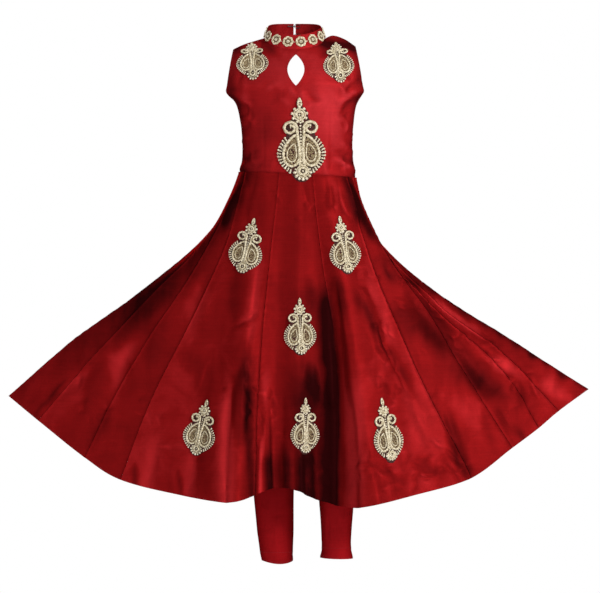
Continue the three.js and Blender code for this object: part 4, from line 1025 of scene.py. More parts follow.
def leaf_outline(count, grow=0.0):
    """Points of the leaf in x and z, down one side and up the other."""
    part = 0.5 - 0.5 * np.cos(np.linspace(0, np.pi, count + 1))
    z = mix(KEYHOLE["top"] + grow, KEYHOLE["bottom"] - grow, part)
    half = leaf_half(np.clip(part, 0, 1)) + grow
    half[0] = half[-1] = 0
    right = np.stack([KEYHOLE["centre"] + half, z], -1)
    left = np.stack([KEYHOLE["centre"] - half, z], -1)[::-1]
    return np.concatenate([right, left[1:-1]])


outline = leaf_outline(36)
count = len(outline)
near = [(x * MM, -0.12, z * MM) for x, z in outline]
far = [(x * MM, -0.02, z * MM) for x, z in outline]
sides = [(i, (i + 1) % count, count + (i + 1) % count, count + i) for i in range(count)]
cutter = link_mesh("leaf_cutter", near + far, sides + [tuple(range(count))[::-1], tuple(range(count, 2 * count))])
cut = bodice_front.modifiers.new("leaf", "BOOLEAN")
cut.operation = "DIFFERENCE"
cut.solver = "EXACT"
cut.object = cutter
bpy.context.view_layer.update()
evaluated = bodice_front.evaluated_get(bpy.context.evaluated_depsgraph_get())
cut_mesh = bpy.data.meshes.new_from_object(evaluated)
bodice_front.modifiers.clear()
bodice_front.data = cut_mesh
bpy.data.objects.remove(cutter)
finish_mesh(bodice_front)
wear(bodice_front, "kurta_cloth", "bodice_front")


def back_panel(side):
    """Outer points of one back panel, from the centre to the side seam or the other way round."""
    v = edge_rows(46)
    middle = bodice_surface(np.zeros_like(v), v, False)
    beside = bodice_surface(np.full_like(v, 1e-3), v, False)
    half = np.where(middle[:, 2] < BACK_DROP[-1]["z"], 0.15, look_up(BACK_DROP, "z", "half", middle[:, 2]))
    edge = np.maximum(half, 0.15) * 1e-3 / np.linalg.norm(beside - middle, axis=-1)
    t = np.linspace(0, 1, 61)[None, :]
    u = mix(edge[:, None], 1, t)
    if side > 0:
        u = u[:, ::-1]
    base = soften(bodice_surface(-u if side < 0 else u, v[:, None], False), 8)
    return bodice_relief(base, BACK_CREASES, 37, v[:, None])


back_pieces = []
for side, name in ((-1, "bodice_back_left"), (1, "bodice_back_right")):
    points, painted_shade = back_panel(side)
    piece = shell(name + "_cloth", points, CLOTH, BODICE_SILK, painted_shade)
    wear(piece, "kurta_cloth", name)
    back_pieces.append((piece, points))
print("bodice faces:", len(cut_mesh.polygons))

# %% [markdown]
# ## Collar
# A stand collar is a shaped band on the neck line. It leans in a little and is higher behind than in front. Its two
# back ends leave a narrow gap for the hooks.


# %% Collar
def collar_point(angle, height, inset=0.0):
    turn = np.radians(angle)
    sine, cosine = np.sin(turn), np.cos(turn)
    base_deep = np.where(cosine > 0, NECK["front"], NECK["back"])
    wide = mix(NECK["wide"], COLLAR["wide"], height) - inset
    deep = mix(base_deep, COLLAR["deep"], height) - inset
    y = -deep * cosine
    bend = (COLLAR["front_z"] + COLLAR["back_z"]) / 2 - COLLAR["side_z"]
    tilt = (COLLAR["front_z"] - COLLAR["back_z"]) / 2
    top = COLLAR["side_z"] + tilt * cosine + bend * cosine**2
    return stack(NECK["centre"] + wide * sine, y, mix(neck_plane(y) + COLLAR["lift"], top, height))


end = 180 - math.degrees(COLLAR["end_gap"] / NECK["back"])
angles = np.linspace(-end, end, 181)[None, :]
heights = np.array([0, 0.03, 0.08, 0.16, 0.27, 0.4, 0.52, 0.64, 0.76, 0.86, 0.93, 0.97, 1.0])[:, None]
collar_outer = collar_point(*np.broadcast_arrays(angles, heights))
collar_base = collar_outer
bumps = 0.35 * np.sin(np.radians(angles) * 23) * np.exp(-((heights - 0.3) ** 2) / 0.2)
bumps = bumps - 0.9 * np.exp(-((heights / 0.035) ** 2)) - 0.8 * np.exp(-(((heights - 1) / 0.03) ** 2))
collar_outer = collar_outer + grid_normals(collar_outer) * bumps[..., None]
collar_outer[0, :, 2] -= 0.8
collar = shell("collar_cloth", collar_outer, 2.0, BODICE_SILK, np.zeros(collar_outer.shape[:2]))
wear(collar, "kurta_cloth", "collar")
print("collar length", round(float(np.linalg.norm(np.diff(collar_base[0], axis=0), axis=-1).sum())), "mm")

# %% [markdown]
# ## Churidar
# Each leg is one sheet, as it is cut: it wraps the leg, closes at the inner seam, and above the fork it opens to
# meet the other leg at the middle. Only the ankles show, so the wrinkles are kept for them.


# %% Churidar
LEG_CREASES = {
    -1: [
        (-38, -815, -36, -925, 2.2, 0.9, 1, 0.6, 0.6),
        (-66, -860, -30, -872, 4, -1.0, 3, 0.4, 0),
        (-16, -838, -50, -846, 4, -1.1, -2, 0.5, 0),
        (-60, -900, -34, -905, 3, 0.9, 2, 0.4, 0),
        (-8, -880, -34, -892, 4, 1.1, 2, 0.5, 0),
        (-68, -826, -44, -836, 4, 1.1, 2, 0.5, 0),
        (-10, -916, -30, -912, 3, -0.8, 1, 0.5, 0),
    ],
    1: [
        (50, -862, 76, -872, 4, -1.1, 3, 0.5, 0),
        (96, -846, 72, -856, 4, 1.1, 2, 0.5, 0),
        (52, -895, 80, -902, 3, 0.9, 2, 0.5, 0),
        (98, -884, 78, -890, 3.5, -1.0, 2, 0.5, 0),
        (60, -835, 58, -905, 3, -0.9, 2, 0, 0),
        (92, -905, 66, -909, 2.6, -1.2, 1, 0.6, 0.3),
    ],
}


def leg_surface(side, sections, u, v):
    hem = sections[0]["z"]
    z = np.where(v < 0.72, mix(hem, FORK_Z, v / 0.72), mix(FORK_Z, SEAT_TOP, (v - 0.72) / 0.28))
    turn = u * 2 * math.pi
    at = np.minimum(z, FORK_Z)
    x, y, wide, deep = (look_up(sections, "z", key, at) for key in ("x", "y", "wide", "deep"))
    round_leg = stack(x - side * wide * np.cos(turn), y - deep * np.sin(turn), z)
    cosine = np.cos(turn / 2)
    seat_wide = look_up(SEAT, "z", "wide", z)
    seat_deep = np.where(cosine > 0, look_up(SEAT, "z", "front", z), look_up(SEAT, "z", "back", z))
    seat_y = -seat_deep * signed_power(np.where(np.abs(cosine) < 1e-9, 0, cosine), SQUARENESS)
    seat = stack(SEAT_CENTRE + side * seat_wide * np.sin(turn / 2), seat_y, z)
    above = np.clip((z - FORK_Z) / (SEAT_TOP - FORK_Z), 0, 1)
    sheet = mix(round_leg, seat, smooth((z - FORK_Z) / 80)[..., None])
    sheet[..., 2] += WAIST["slant"] * sheet[..., 0] * above
    return sheet


leg_pieces = []
for side, name, sections in ((-1, "leg_left", LEFT_LEG), (1, "leg_right", RIGHT_LEG)):
    part = np.linspace(0, 1, 81)[None, :]
    u = 1 - part if side < 0 else part
    v = np.concatenate([np.linspace(0, 0.3, 70), np.linspace(0.3, 1, 25)[1:]])[:, None]
    u, v = np.broadcast_arrays(u, v)
    base = leg_surface(side, sections, u, v)
    normals = grid_normals(base)
    x, z = base[..., 0], base[..., 2]
    front = smooth((-base[..., 1] + look_up(sections, "z", "y", np.minimum(z, FORK_Z))) / 12)
    from_hem = z - sections[0]["z"]
    hem = 0.3 * smooth((11 - from_hem) / 1.2 + 0.5) - 0.45 * np.exp(-(((from_hem - 11) / 1.1) ** 2))
    swell = 0.35 * gentle_waves(x * 2, z * 2, 41) * smooth(v * 20)
    moved = crease_height(LEG_CREASES[side], x, z) * front + hem + swell
    points = base + normals * moved[..., None]
    if side < 0:
        points[..., 2] += 2.5 * smooth(1 - from_hem / 12) * np.cos(u * 2 * math.pi * 2 + 0.4)
    else:
        points[..., 2] -= 2.0 * smooth(1 - from_hem / 12) * np.sin(u * math.pi)
    middle = side * (points[..., 0] - SEAT_CENTRE) < 0.15
    points[..., 0] = np.where(middle & (points[..., 2] > FORK_Z - 60), SEAT_CENTRE + side * 0.15, points[..., 0])
    # The right leg is given a little painted light.
    piece = shell(name + "_cloth", points, 1.2, CHURIDAR_CLOTH, np.full(points.shape[:2], -0.05 * max(side, 0)))
    wear(piece, "churidar_cloth", name)
    leg_pieces.append((piece, points))

band_angles = np.linspace(0, 360, 145)[:-1][None, :]
band_heights = np.linspace(0, 1, 9)[:, None]
ring = waist_point(np.broadcast_to(band_angles, (9, 144)))
ahead, behind = (np.broadcast_to(band_angles + step, (9, 144)) for step in (1, -1))
along = waist_point(ahead) - waist_point(behind)
outward = unit(stack(along[..., 1], -along[..., 0], 0 * along[..., 0]))
gather = 0.35 * np.sin(np.radians(band_angles) * 60) * np.sin(math.pi * band_heights)
band = ring - outward * (2.3 - gather[..., None] + 0.4)
band[..., 2] = SEAT_TOP + 0.3 + WAIST["slant"] * band[..., 0] + band_heights * 22
flat_tone = np.zeros(band.shape[:2])
waistband = shell("waistband_cloth", band, 1.8, CHURIDAR_CLOTH, flat_tone, closed=True, normals=outward)
wear(waistband, "churidar_cloth", "waistband")
print("legs:", [p.name for p, _ in leg_pieces])

# %% [markdown]
# ## What repeats: beads and stitches
# One small node tree puts a bead, a bar or a stitch on every point of a point mesh, turned and sized by the
# point's own attributes. Geometry Nodes suits this because one change of the prototype changes hundreds of copies.
# The result is made into a plain mesh at once, so nothing depends on the tree later.


# %% Node tree that repeats a piece on points
def build_repeat_tree():
    tree = bpy.data.node_groups.new("repeat_on_points", "GeometryNodeTree")
    tree.interface.new_socket("Points", in_out="INPUT", socket_type="NodeSocketGeometry")
    tree.interface.new_socket("Piece", in_out="INPUT", socket_type="NodeSocketObject")
    tree.interface.new_socket("Overall size", in_out="INPUT", socket_type="NodeSocketFloat")
    tree.interface.new_socket("Finish", in_out="INPUT", socket_type="NodeSocketMaterial")
    tree.interface.new_socket("Geometry", in_out="OUTPUT", socket_type="NodeSocketGeometry")
    nodes, links = tree.nodes, tree.links
    given = nodes.new("NodeGroupInput")
    info = nodes.new("GeometryNodeObjectInfo")
    turn = nodes.new("GeometryNodeInputNamedAttribute")
    turn.data_type = "FLOAT_VECTOR"
    turn.inputs["Name"].default_value = "turn"
    size = nodes.new("GeometryNodeInputNamedAttribute")
    size.data_type = "FLOAT_VECTOR"
    size.inputs["Name"].default_value = "size"
    rotation = nodes.new("FunctionNodeEulerToRotation")
    scale = nodes.new("ShaderNodeVectorMath")
    scale.operation = "SCALE"
    repeat = nodes.new("GeometryNodeInstanceOnPoints")
    real = nodes.new("GeometryNodeRealizeInstances")
    finish = nodes.new("GeometryNodeSetMaterial")
    out = nodes.new("NodeGroupOutput")
    links.new(given.outputs["Points"], repeat.inputs["Points"])
    links.new(given.outputs["Piece"], info.inputs["Object"])
    links.new(info.outputs["Geometry"], repeat.inputs["Instance"])
    links.new(turn.outputs["Attribute"], rotation.inputs["Euler"])
    links.new(rotation.outputs["Rotation"], repeat.inputs["Rotation"])
    links.new(size.outputs["Attribute"], scale.inputs[0])
    links.new(given.outputs["Overall size"], scale.inputs["Scale"])
    links.new(scale.outputs["Vector"], repeat.inputs["Scale"])
    links.new(repeat.outputs["Instances"], real.inputs["Geometry"])
    links.new(real.outputs["Geometry"], finish.inputs["Geometry"])
    links.new(given.outputs["Finish"], finish.inputs["Material"])
    links.new(finish.outputs["Geometry"], out.inputs["Geometry"])
    return tree


REPEAT = build_repeat_tree()


def frames_to_euler(across, along, up):
    """Euler turns that take X, Y and Z to three crossed unit directions for each point."""
    turns = []
    for a, b, c in zip(across, along, up):
        matrix = Matrix(((a[0], b[0], c[0]), (a[1], b[1], c[1]), (a[2], b[2], c[2])))
        turns.append(tuple(matrix.to_euler()))
    return np.array(turns)


def repeat_on(name, prototype, places, turns, sizes, material):
    """Plain mesh object with a copy of the prototype at every place (mm), turned and sized."""
    cloud = bpy.data.meshes.new(name)
    cloud.from_pydata([tuple(p) for p in np.asarray(places) * MM], [], [])
    for key, values in (("turn", turns), ("size", sizes)):
        layer = cloud.attributes.new(key, "FLOAT_VECTOR", "POINT")
        layer.data.foreach_set("vector", np.asarray(values, np.float32).ravel())
    piece = bpy.data.objects.new(name, cloud)
    bpy.context.collection.objects.link(piece)
    modifier = piece.modifiers.new("repeat", "NODES")
    modifier.node_group = REPEAT
    sockets = {item.name: item.identifier for item in REPEAT.interface.items_tree if item.in_out == "INPUT"}
    modifier[sockets["Piece"]] = prototype
    modifier[sockets["Overall size"]] = 1.0
    modifier[sockets["Finish"]] = material
    bpy.context.view_layer.update()
    evaluated = piece.evaluated_get(bpy.context.evaluated_depsgraph_get())
    made = bpy.data.meshes.new_from_object(evaluated)
    piece.modifiers.clear()
    piece.data = made
    made.name = name
    made.polygons.foreach_set("use_smooth", [True] * len(made.polygons))
    return piece


def hide_prototype(piece):
    piece.hide_render = True
    piece.hide_viewport = True


def ball_mesh(name, rings=5, sides=8, flat=1.0):
    """Unit bead: a closed ball with poles, one millimetre in radius."""
    vertices = [(0, 0, -flat * MM)]
    for r in range(1, rings):
        tilt = math.pi * r / rings
        for s in range(sides):
            turn = 2 * math.pi * s / sides
            x, y = math.sin(tilt) * math.cos(turn), math.sin(tilt) * math.sin(turn)
            vertices.append((x * MM, y * MM, -math.cos(tilt) * flat * MM))
    vertices.append((0, 0, flat * MM))
    faces = []
    for s in range(sides):
        n = (s + 1) % sides
        faces.append((0, 1 + n, 1 + s))
        for r in range(rings - 2):
            low, high = 1 + r * sides, 1 + (r + 1) * sides
            faces.append((low + s, low + n, high + n, high + s))
        last = 1 + (rings - 2) * sides
        faces.append((last + s, last + n, len(vertices) - 1))
    return link_mesh(name, vertices, faces)


bead_piece = ball_mesh("bead_prototype")
hide_prototype(bead_piece)
print("repeat tree nodes:", len(REPEAT.nodes))

# %% [markdown]
# ## Embroidered drop motifs
# The motif is a traditional one: a drop with two mirrored paisleys, a beaded stem, two scrolls, a small rosette and a
# pointed tip, ringed by short bars of cord. It is drawn by formula in its own flat space, one unit long, then laid on
# the cloth: the flat drawing is carried by a small patch of surface points found on the finished panels, so each
# motif follows the folds under it. Thick parts are twisted cord, the filling is loose beads on a dark backing, which
# is partly the embroidery's own dark ground and partly painted shadow between the cords.

# %% Where the motifs lie
MOTIF_COLUMNS = ("name", "x", "z", "long", "wide", "lean", "drop")
OUTLINE_DROP = 0.6
MOTIFS = [
    ("motif_bodice_centre", 7.8, -173.7, 149, 85, -2, 0.6),
    ("motif_shoulder_left", -78.5, -31, 66, 57, -2, 0.72),
    ("motif_shoulder_right", 74.1, -34, 72, 55, -5.9, 0.72),
    ("motif_skirt_upper_left", -86.1, -362.2, 100.7, 60, 14.3, 0.6),
    ("motif_skirt_upper_right", 83.8, -361.3, 104, 54, -9.3, 0.6),
    ("motif_skirt_upper_centre", 6.3, -505.8, 101, 56, -1.3, 0.6),
    ("motif_skirt_lower_left", -167.7, -684.3, 100, 58, 13, 0.6),
    ("motif_skirt_lower_centre", 15.3, -681, 99, 50, 0.3, 0.6),
    ("motif_skirt_lower_right", 158.3, -687.9, 114, 52, -9.4, 0.6),
]
front_parts = [bodice_front] + [gore_shells[name][0] for name, *_ in FRONT_GORES]


def find_surface(pieces):
    vertices, polygons = [], []
    for piece in pieces:
        start = len(vertices)
        vertices += [v.co.copy() for v in piece.data.vertices]
        polygons += [[start + i for i in p.vertices] for p in piece.data.polygons]
    return BVHTree.FromPolygons(vertices, polygons)


front_tree = find_surface(front_parts)
PATCH_ROWS, PATCH_COLUMNS = 33, 21


class Patch:
    """Carries flat drawing coordinates p (across, -1 to 1) and q (bottom 0 to tip 1) onto the cloth."""

    def __init__(self, motif):
        self.long, self.wide, self.drop = motif["long"], motif["wide"], motif["drop"]
        lean = math.radians(motif["lean"])
        ps = np.linspace(-1.12, 1.12, PATCH_COLUMNS)
        qs = np.linspace(-0.05, 1.05, PATCH_ROWS)
        grid = np.full((PATCH_ROWS, PATCH_COLUMNS, 3), np.nan)
        for r, q in enumerate(qs):
            for c, p in enumerate(ps):
                across, along = p * self.wide / 2, (q - 0.5) * self.long
                x = motif["x"] + across * math.cos(lean) + along * math.sin(lean)
                z = motif["z"] - across * math.sin(lean) + along * math.cos(lean)
                hit = front_tree.ray_cast(Vector((x * MM, -1, z * MM)), Vector((0, 1, 0)))[0]
                if hit is not None and hit.y < 0.01:
                    grid[r, c] = np.array(hit) / MM
        self.fill_gaps(grid)
        for _ in range(3):
            grid[1:-1] = mix(grid[1:-1], (grid[:-2] + grid[2:]) / 2, 0.5)
            grid[:, 1:-1] = mix(grid[:, 1:-1], (grid[:, :-2] + grid[:, 2:]) / 2, 0.5)
        self.grid = grid
        self.normals = grid_normals(grid)
        self.ps, self.qs = ps, qs

    @staticmethod
    def fill_gaps(grid):
        """Points that miss the cloth carry on from the row below, in a straight line."""
        for c in range(grid.shape[1]):
            for r in range(2, grid.shape[0]):
                if np.isnan(grid[r, c, 0]):
                    grid[r, c] = 2 * grid[r - 1, c] - grid[r - 2, c]
            for r in range(grid.shape[0] - 3, -1, -1):
                if np.isnan(grid[r, c, 0]):
                    grid[r, c] = 2 * grid[r + 1, c] - grid[r + 2, c]

    def sample(self, values, p, q):
        fp = np.clip((p - self.ps[0]) / (self.ps[1] - self.ps[0]), 0, len(self.ps) - 1.001)
        crown = self.drop + (q - OUTLINE_DROP) * (1 - self.drop) / (1 - OUTLINE_DROP)
        q = np.where(q < OUTLINE_DROP, q * self.drop / OUTLINE_DROP, crown)
        fq = np.clip((q - self.qs[0]) / (self.qs[1] - self.qs[0]), 0, len(self.qs) - 1.001)
        i, j = fq.astype(int), fp.astype(int)
        tq, tp = (fq - i)[..., None], (fp - j)[..., None]
        low = mix(values[i, j], values[i, j + 1], tp)
        high = mix(values[i + 1, j], values[i + 1, j + 1], tp)
        return mix(low, high, tq)

    def place(self, p, q, lift):
        p, q, lift = np.broadcast_arrays(np.asarray(p, float), np.asarray(q, float), np.asarray(lift, float))
        return self.sample(self.grid, p, q) + unit(self.sample(self.normals, p, q)) * lift[..., None]

    def frame(self, p, q, turn):
        """Directions at each point: across and along the drawing turned by an angle, and out of the cloth."""
        p, q, turn = np.broadcast_arrays(np.asarray(p, float), np.asarray(q, float), np.asarray(turn, float))
        up = unit(self.sample(self.normals, p, q))
        side = unit(self.sample(self.grid, p + 0.02, q) - self.sample(self.grid, p - 0.02, q))
        side = unit(side - up * (side * up).sum(-1, keepdims=True))
        ahead = np.cross(up, side)
        a = side * np.cos(turn)[..., None] + ahead * np.sin(turn)[..., None]
        return a, np.cross(up, a), up


print("motifs:", len(MOTIFS))

# %% [markdown]
# ### Drawing the motif
# Curves are kept in true proportions: p is scaled by half the width and q by the length. A paisley is a rounded
# drop that narrows to the stem; its border is one closed cord. A scroll is a spiral that leaves the stem, climbs
# and curls outward.


# %% Motif drawing
DROP = {"centre": 0.405, "lean_in": 0.21, "half": 0.395, "foot": 0.184, "tall": 0.372}
SCROLL = {"p": 0.405, "q": 0.645, "across": 0.255, "rise": 0.066, "turns": 1.3, "eye": 0.36}
STEM = {"foot_p": 0.08, "foot_q": 0.2, "top_p": 0.145}
TOP_ROSETTE = {"p": -0.02, "q": 0.797}
FOOT_ROSETTE = {"p": 0.03, "q": 0.118}


def drop_curve(side, grow=1.0, count=60):
    """Closed outline of one paisley: round at the foot, drawn to a point beside the stem."""
    t = np.linspace(0, 2 * np.pi, count, endpoint=False)
    up = 0.5 - 0.5 * np.cos(t)
    half = DROP["half"] * np.sin(t) * (1 - up) ** 0.25
    p = side * (DROP["centre"] - DROP["lean_in"] * up**4 + half)
    q = DROP["foot"] + DROP["tall"] * up
    centre_p, centre_q = side * (DROP["centre"] - 0.01), DROP["foot"] + 0.34 * DROP["tall"]
    return centre_p + (p - centre_p) * grow, centre_q + (q - centre_q) * grow


def scroll_curve(side, count=64):
    """Stem cord that rises from the foot, arches over outwards and curls into a spiral eye."""
    rise = np.linspace(0, 1, 22, endpoint=False)
    stem_p = mix(STEM["foot_p"], STEM["top_p"], smooth((rise - 0.45) / 0.5))
    stem_q = mix(STEM["foot_q"], SCROLL["q"], rise)
    turn = np.linspace(0, 1, count - 22)
    angle = math.pi - 2 * math.pi * SCROLL["turns"] * turn
    radius = mix(1.0, SCROLL["eye"], smooth((turn - 0.45) / 0.55))
    curl_p = SCROLL["p"] + (SCROLL["across"] * radius + 0.005) * np.cos(angle)
    curl_q = SCROLL["q"] + SCROLL["rise"] * radius * np.sin(angle)
    return side * np.concatenate([stem_p, curl_p]), np.concatenate([stem_q, curl_q])


def ring_curve(centre_p, centre_q, radius, aspect, lobes=0, wave=0.0, count=28):
    t = np.linspace(0, 2 * np.pi, count, endpoint=False)
    r = radius * (1 + wave * np.abs(np.cos(lobes * t / 2)))
    return centre_p + r * np.cos(t), centre_q + r * np.sin(t) * aspect


OUTLINE = [
    {"q": -0.005, "half": 0.12},
    {"q": 0.02, "half": 0.27},
    {"q": 0.075, "half": 0.42},
    {"q": 0.128, "half": 0.62},
    {"q": 0.192, "half": 0.83},
    {"q": 0.272, "half": 0.97},
    {"q": 0.352, "half": 1.0},
    {"q": 0.42, "half": 0.93},
    {"q": 0.5, "half": 0.77},
    {"q": 0.56, "half": 0.61},
    {"q": 0.6, "half": 0.66},
    {"q": 0.65, "half": 0.7},
    {"q": 0.7, "half": 0.6},
    {"q": 0.74, "half": 0.38},
    {"q": 0.8, "half": 0.34},
    {"q": 0.85, "half": 0.28},
    {"q": 0.885, "half": 0.13},
    {"q": 0.94, "half": 0.13},
    {"q": 1.0, "half": 0.02},
]


def resample(places, step, closed):
    """Even steps along a line of points, in millimetres."""
    line = np.concatenate([places, places[:1]]) if closed else places
    gaps = np.linalg.norm(np.diff(line, axis=0), axis=-1)
    walked = np.concatenate([[0], np.cumsum(gaps)])
    count = max(6, int(round(walked[-1] / step)))
    at = np.linspace(0, walked[-1], count + (0 if closed else 1), endpoint=not closed)
    return np.stack([np.interp(at, walked, line[:, k]) for k in range(3)], axis=-1)


def cord_parts(places, ups, radius, closed, twist=True, sides=8):
    """Points and faces of a twisted cord along a line. ups are the cloth normals at its points."""
    count = len(places)
    if closed:
        ahead = unit(np.roll(places, -1, 0) - np.roll(places, 1, 0))
    else:
        ahead = unit(np.gradient(places, axis=0))
    side = unit(np.cross(ups, ahead))
    up = np.cross(ahead, side)
    step = np.linalg.norm(np.diff(places, axis=0), axis=-1).mean()
    walked = np.arange(count) * step
    turns = max(1, round(count * step / (radius * 3.2)))
    phase = 2 * np.pi * turns * walked / (count * step)
    k = np.arange(sides)
    angle = 2 * np.pi * k / sides
    swell = 1 + (0.16 if twist else 0) * np.cos(2 * angle[None, :] - phase[:, None])
    ring = radius * swell[..., None] * (
        side[:, None, :] * np.cos(angle)[None, :, None] + up[:, None, :] * 0.85 * np.sin(angle)[None, :, None]
    )
    vertices = (places[:, None, :] + ring).reshape(-1, 3)
    faces = []
    last = count if closed else count - 1
    for i in range(last):
        j = (i + 1) % count
        for s in range(sides):
            n = (s + 1) % sides
            faces.append((i * sides + s, i * sides + n, j * sides + n, j * sides + s))
    if not closed:
        faces.append(tuple(range(sides))[::-1])
        faces.append(tuple((count - 1) * sides + s for s in range(sides)))
    return vertices, faces


class Drawing:
    """Gathers cords of one motif into a single mesh."""

    def __init__(self, patch):
        self.patch = patch
        self.vertices, self.faces = [], []
        self.total = 0

    def add(self, vertices, faces):
        self.vertices.append(vertices)
        self.faces += [tuple(self.total + i for i in face) for face in faces]
        self.total += len(vertices)

    def cord(self, p, q, radius, lift, closed, twist=True):
        places = self.patch.place(p, q, lift)
        ups = unit(self.patch.sample(self.patch.normals, np.asarray(p, float), np.asarray(q, float)))
        even = resample(places, radius * 0.62, closed)
        nearest = np.argmin(((even[:, None, :] - places[None, :, :]) ** 2).sum(-1), axis=1)
        even_ups = ups[nearest]
        self.add(*cord_parts(even, even_ups, radius, closed, twist))

    def piece(self, name, material):
        made = link_mesh(name, np.concatenate(self.vertices) * MM, self.faces, material)
        made.data.polygons.foreach_set("use_smooth", [True] * len(made.data.polygons))
        return made


def backing_and_shadow_piece(name, patch):
    """Thin dark plate under the cords, partly the embroidery's own dark ground and partly painted shadow between
    them.
    """
    qs = np.linspace(OUTLINE[0]["q"], 1.0, 70)
    half = np.maximum(look_up(OUTLINE, "q", "half", qs), 0.015)
    columns = np.linspace(-1, 1, 19)
    p = columns[None, :] * half[:, None] * 0.97
    q = np.broadcast_to(qs[:, None], p.shape)
    points = patch.place(p, q, 1.05)
    return shell(name, points, 0.7, BACKING_AND_SHADOW, normals=unit(patch.sample(patch.normals, p, q)))


def inside_drop(side, p, q, grow):
    """True where points lie inside a paisley outline shrunk or grown about its middle."""
    line_p, line_q = drop_curve(side, grow, 80)
    inside = np.zeros(p.shape, bool)
    j = len(line_p) - 1
    for i in range(len(line_p)):
        crosses = (line_q[i] > q) != (line_q[j] > q)
        edge = (line_p[j] - line_p[i]) * (q - line_q[i]) / (line_q[j] - line_q[i] + 1e-12) + line_p[i]
        inside ^= crosses & (p < edge)
        j = i
    return inside


# %% Motifs on the cloth
RIM_BARS = 13
RIM_LOW, RIM_HIGH = 0.085, 0.55
FILL_PITCH = 0.0185


def rim_points(side, count, aspect):
    """Evenly spaced places on the motif's outer edge beside the paisleys, and the way to the paisley's middle."""
    q = np.linspace(RIM_LOW, RIM_HIGH, 200)
    p = look_up(OUTLINE, "q", "half", q)
    gaps = np.hypot(np.diff(p) * aspect, np.diff(q))
    walked = np.concatenate([[0], np.cumsum(gaps)])
    at = (np.arange(count) + 0.5) / count * walked[-1]
    p, q = np.interp(at, walked, p), np.interp(at, walked, q)
    inward = np.arctan2(0.30 - q, (0.26 - p) * aspect)
    if side < 0:
        inward = math.pi - inward
    return side * p, q, inward


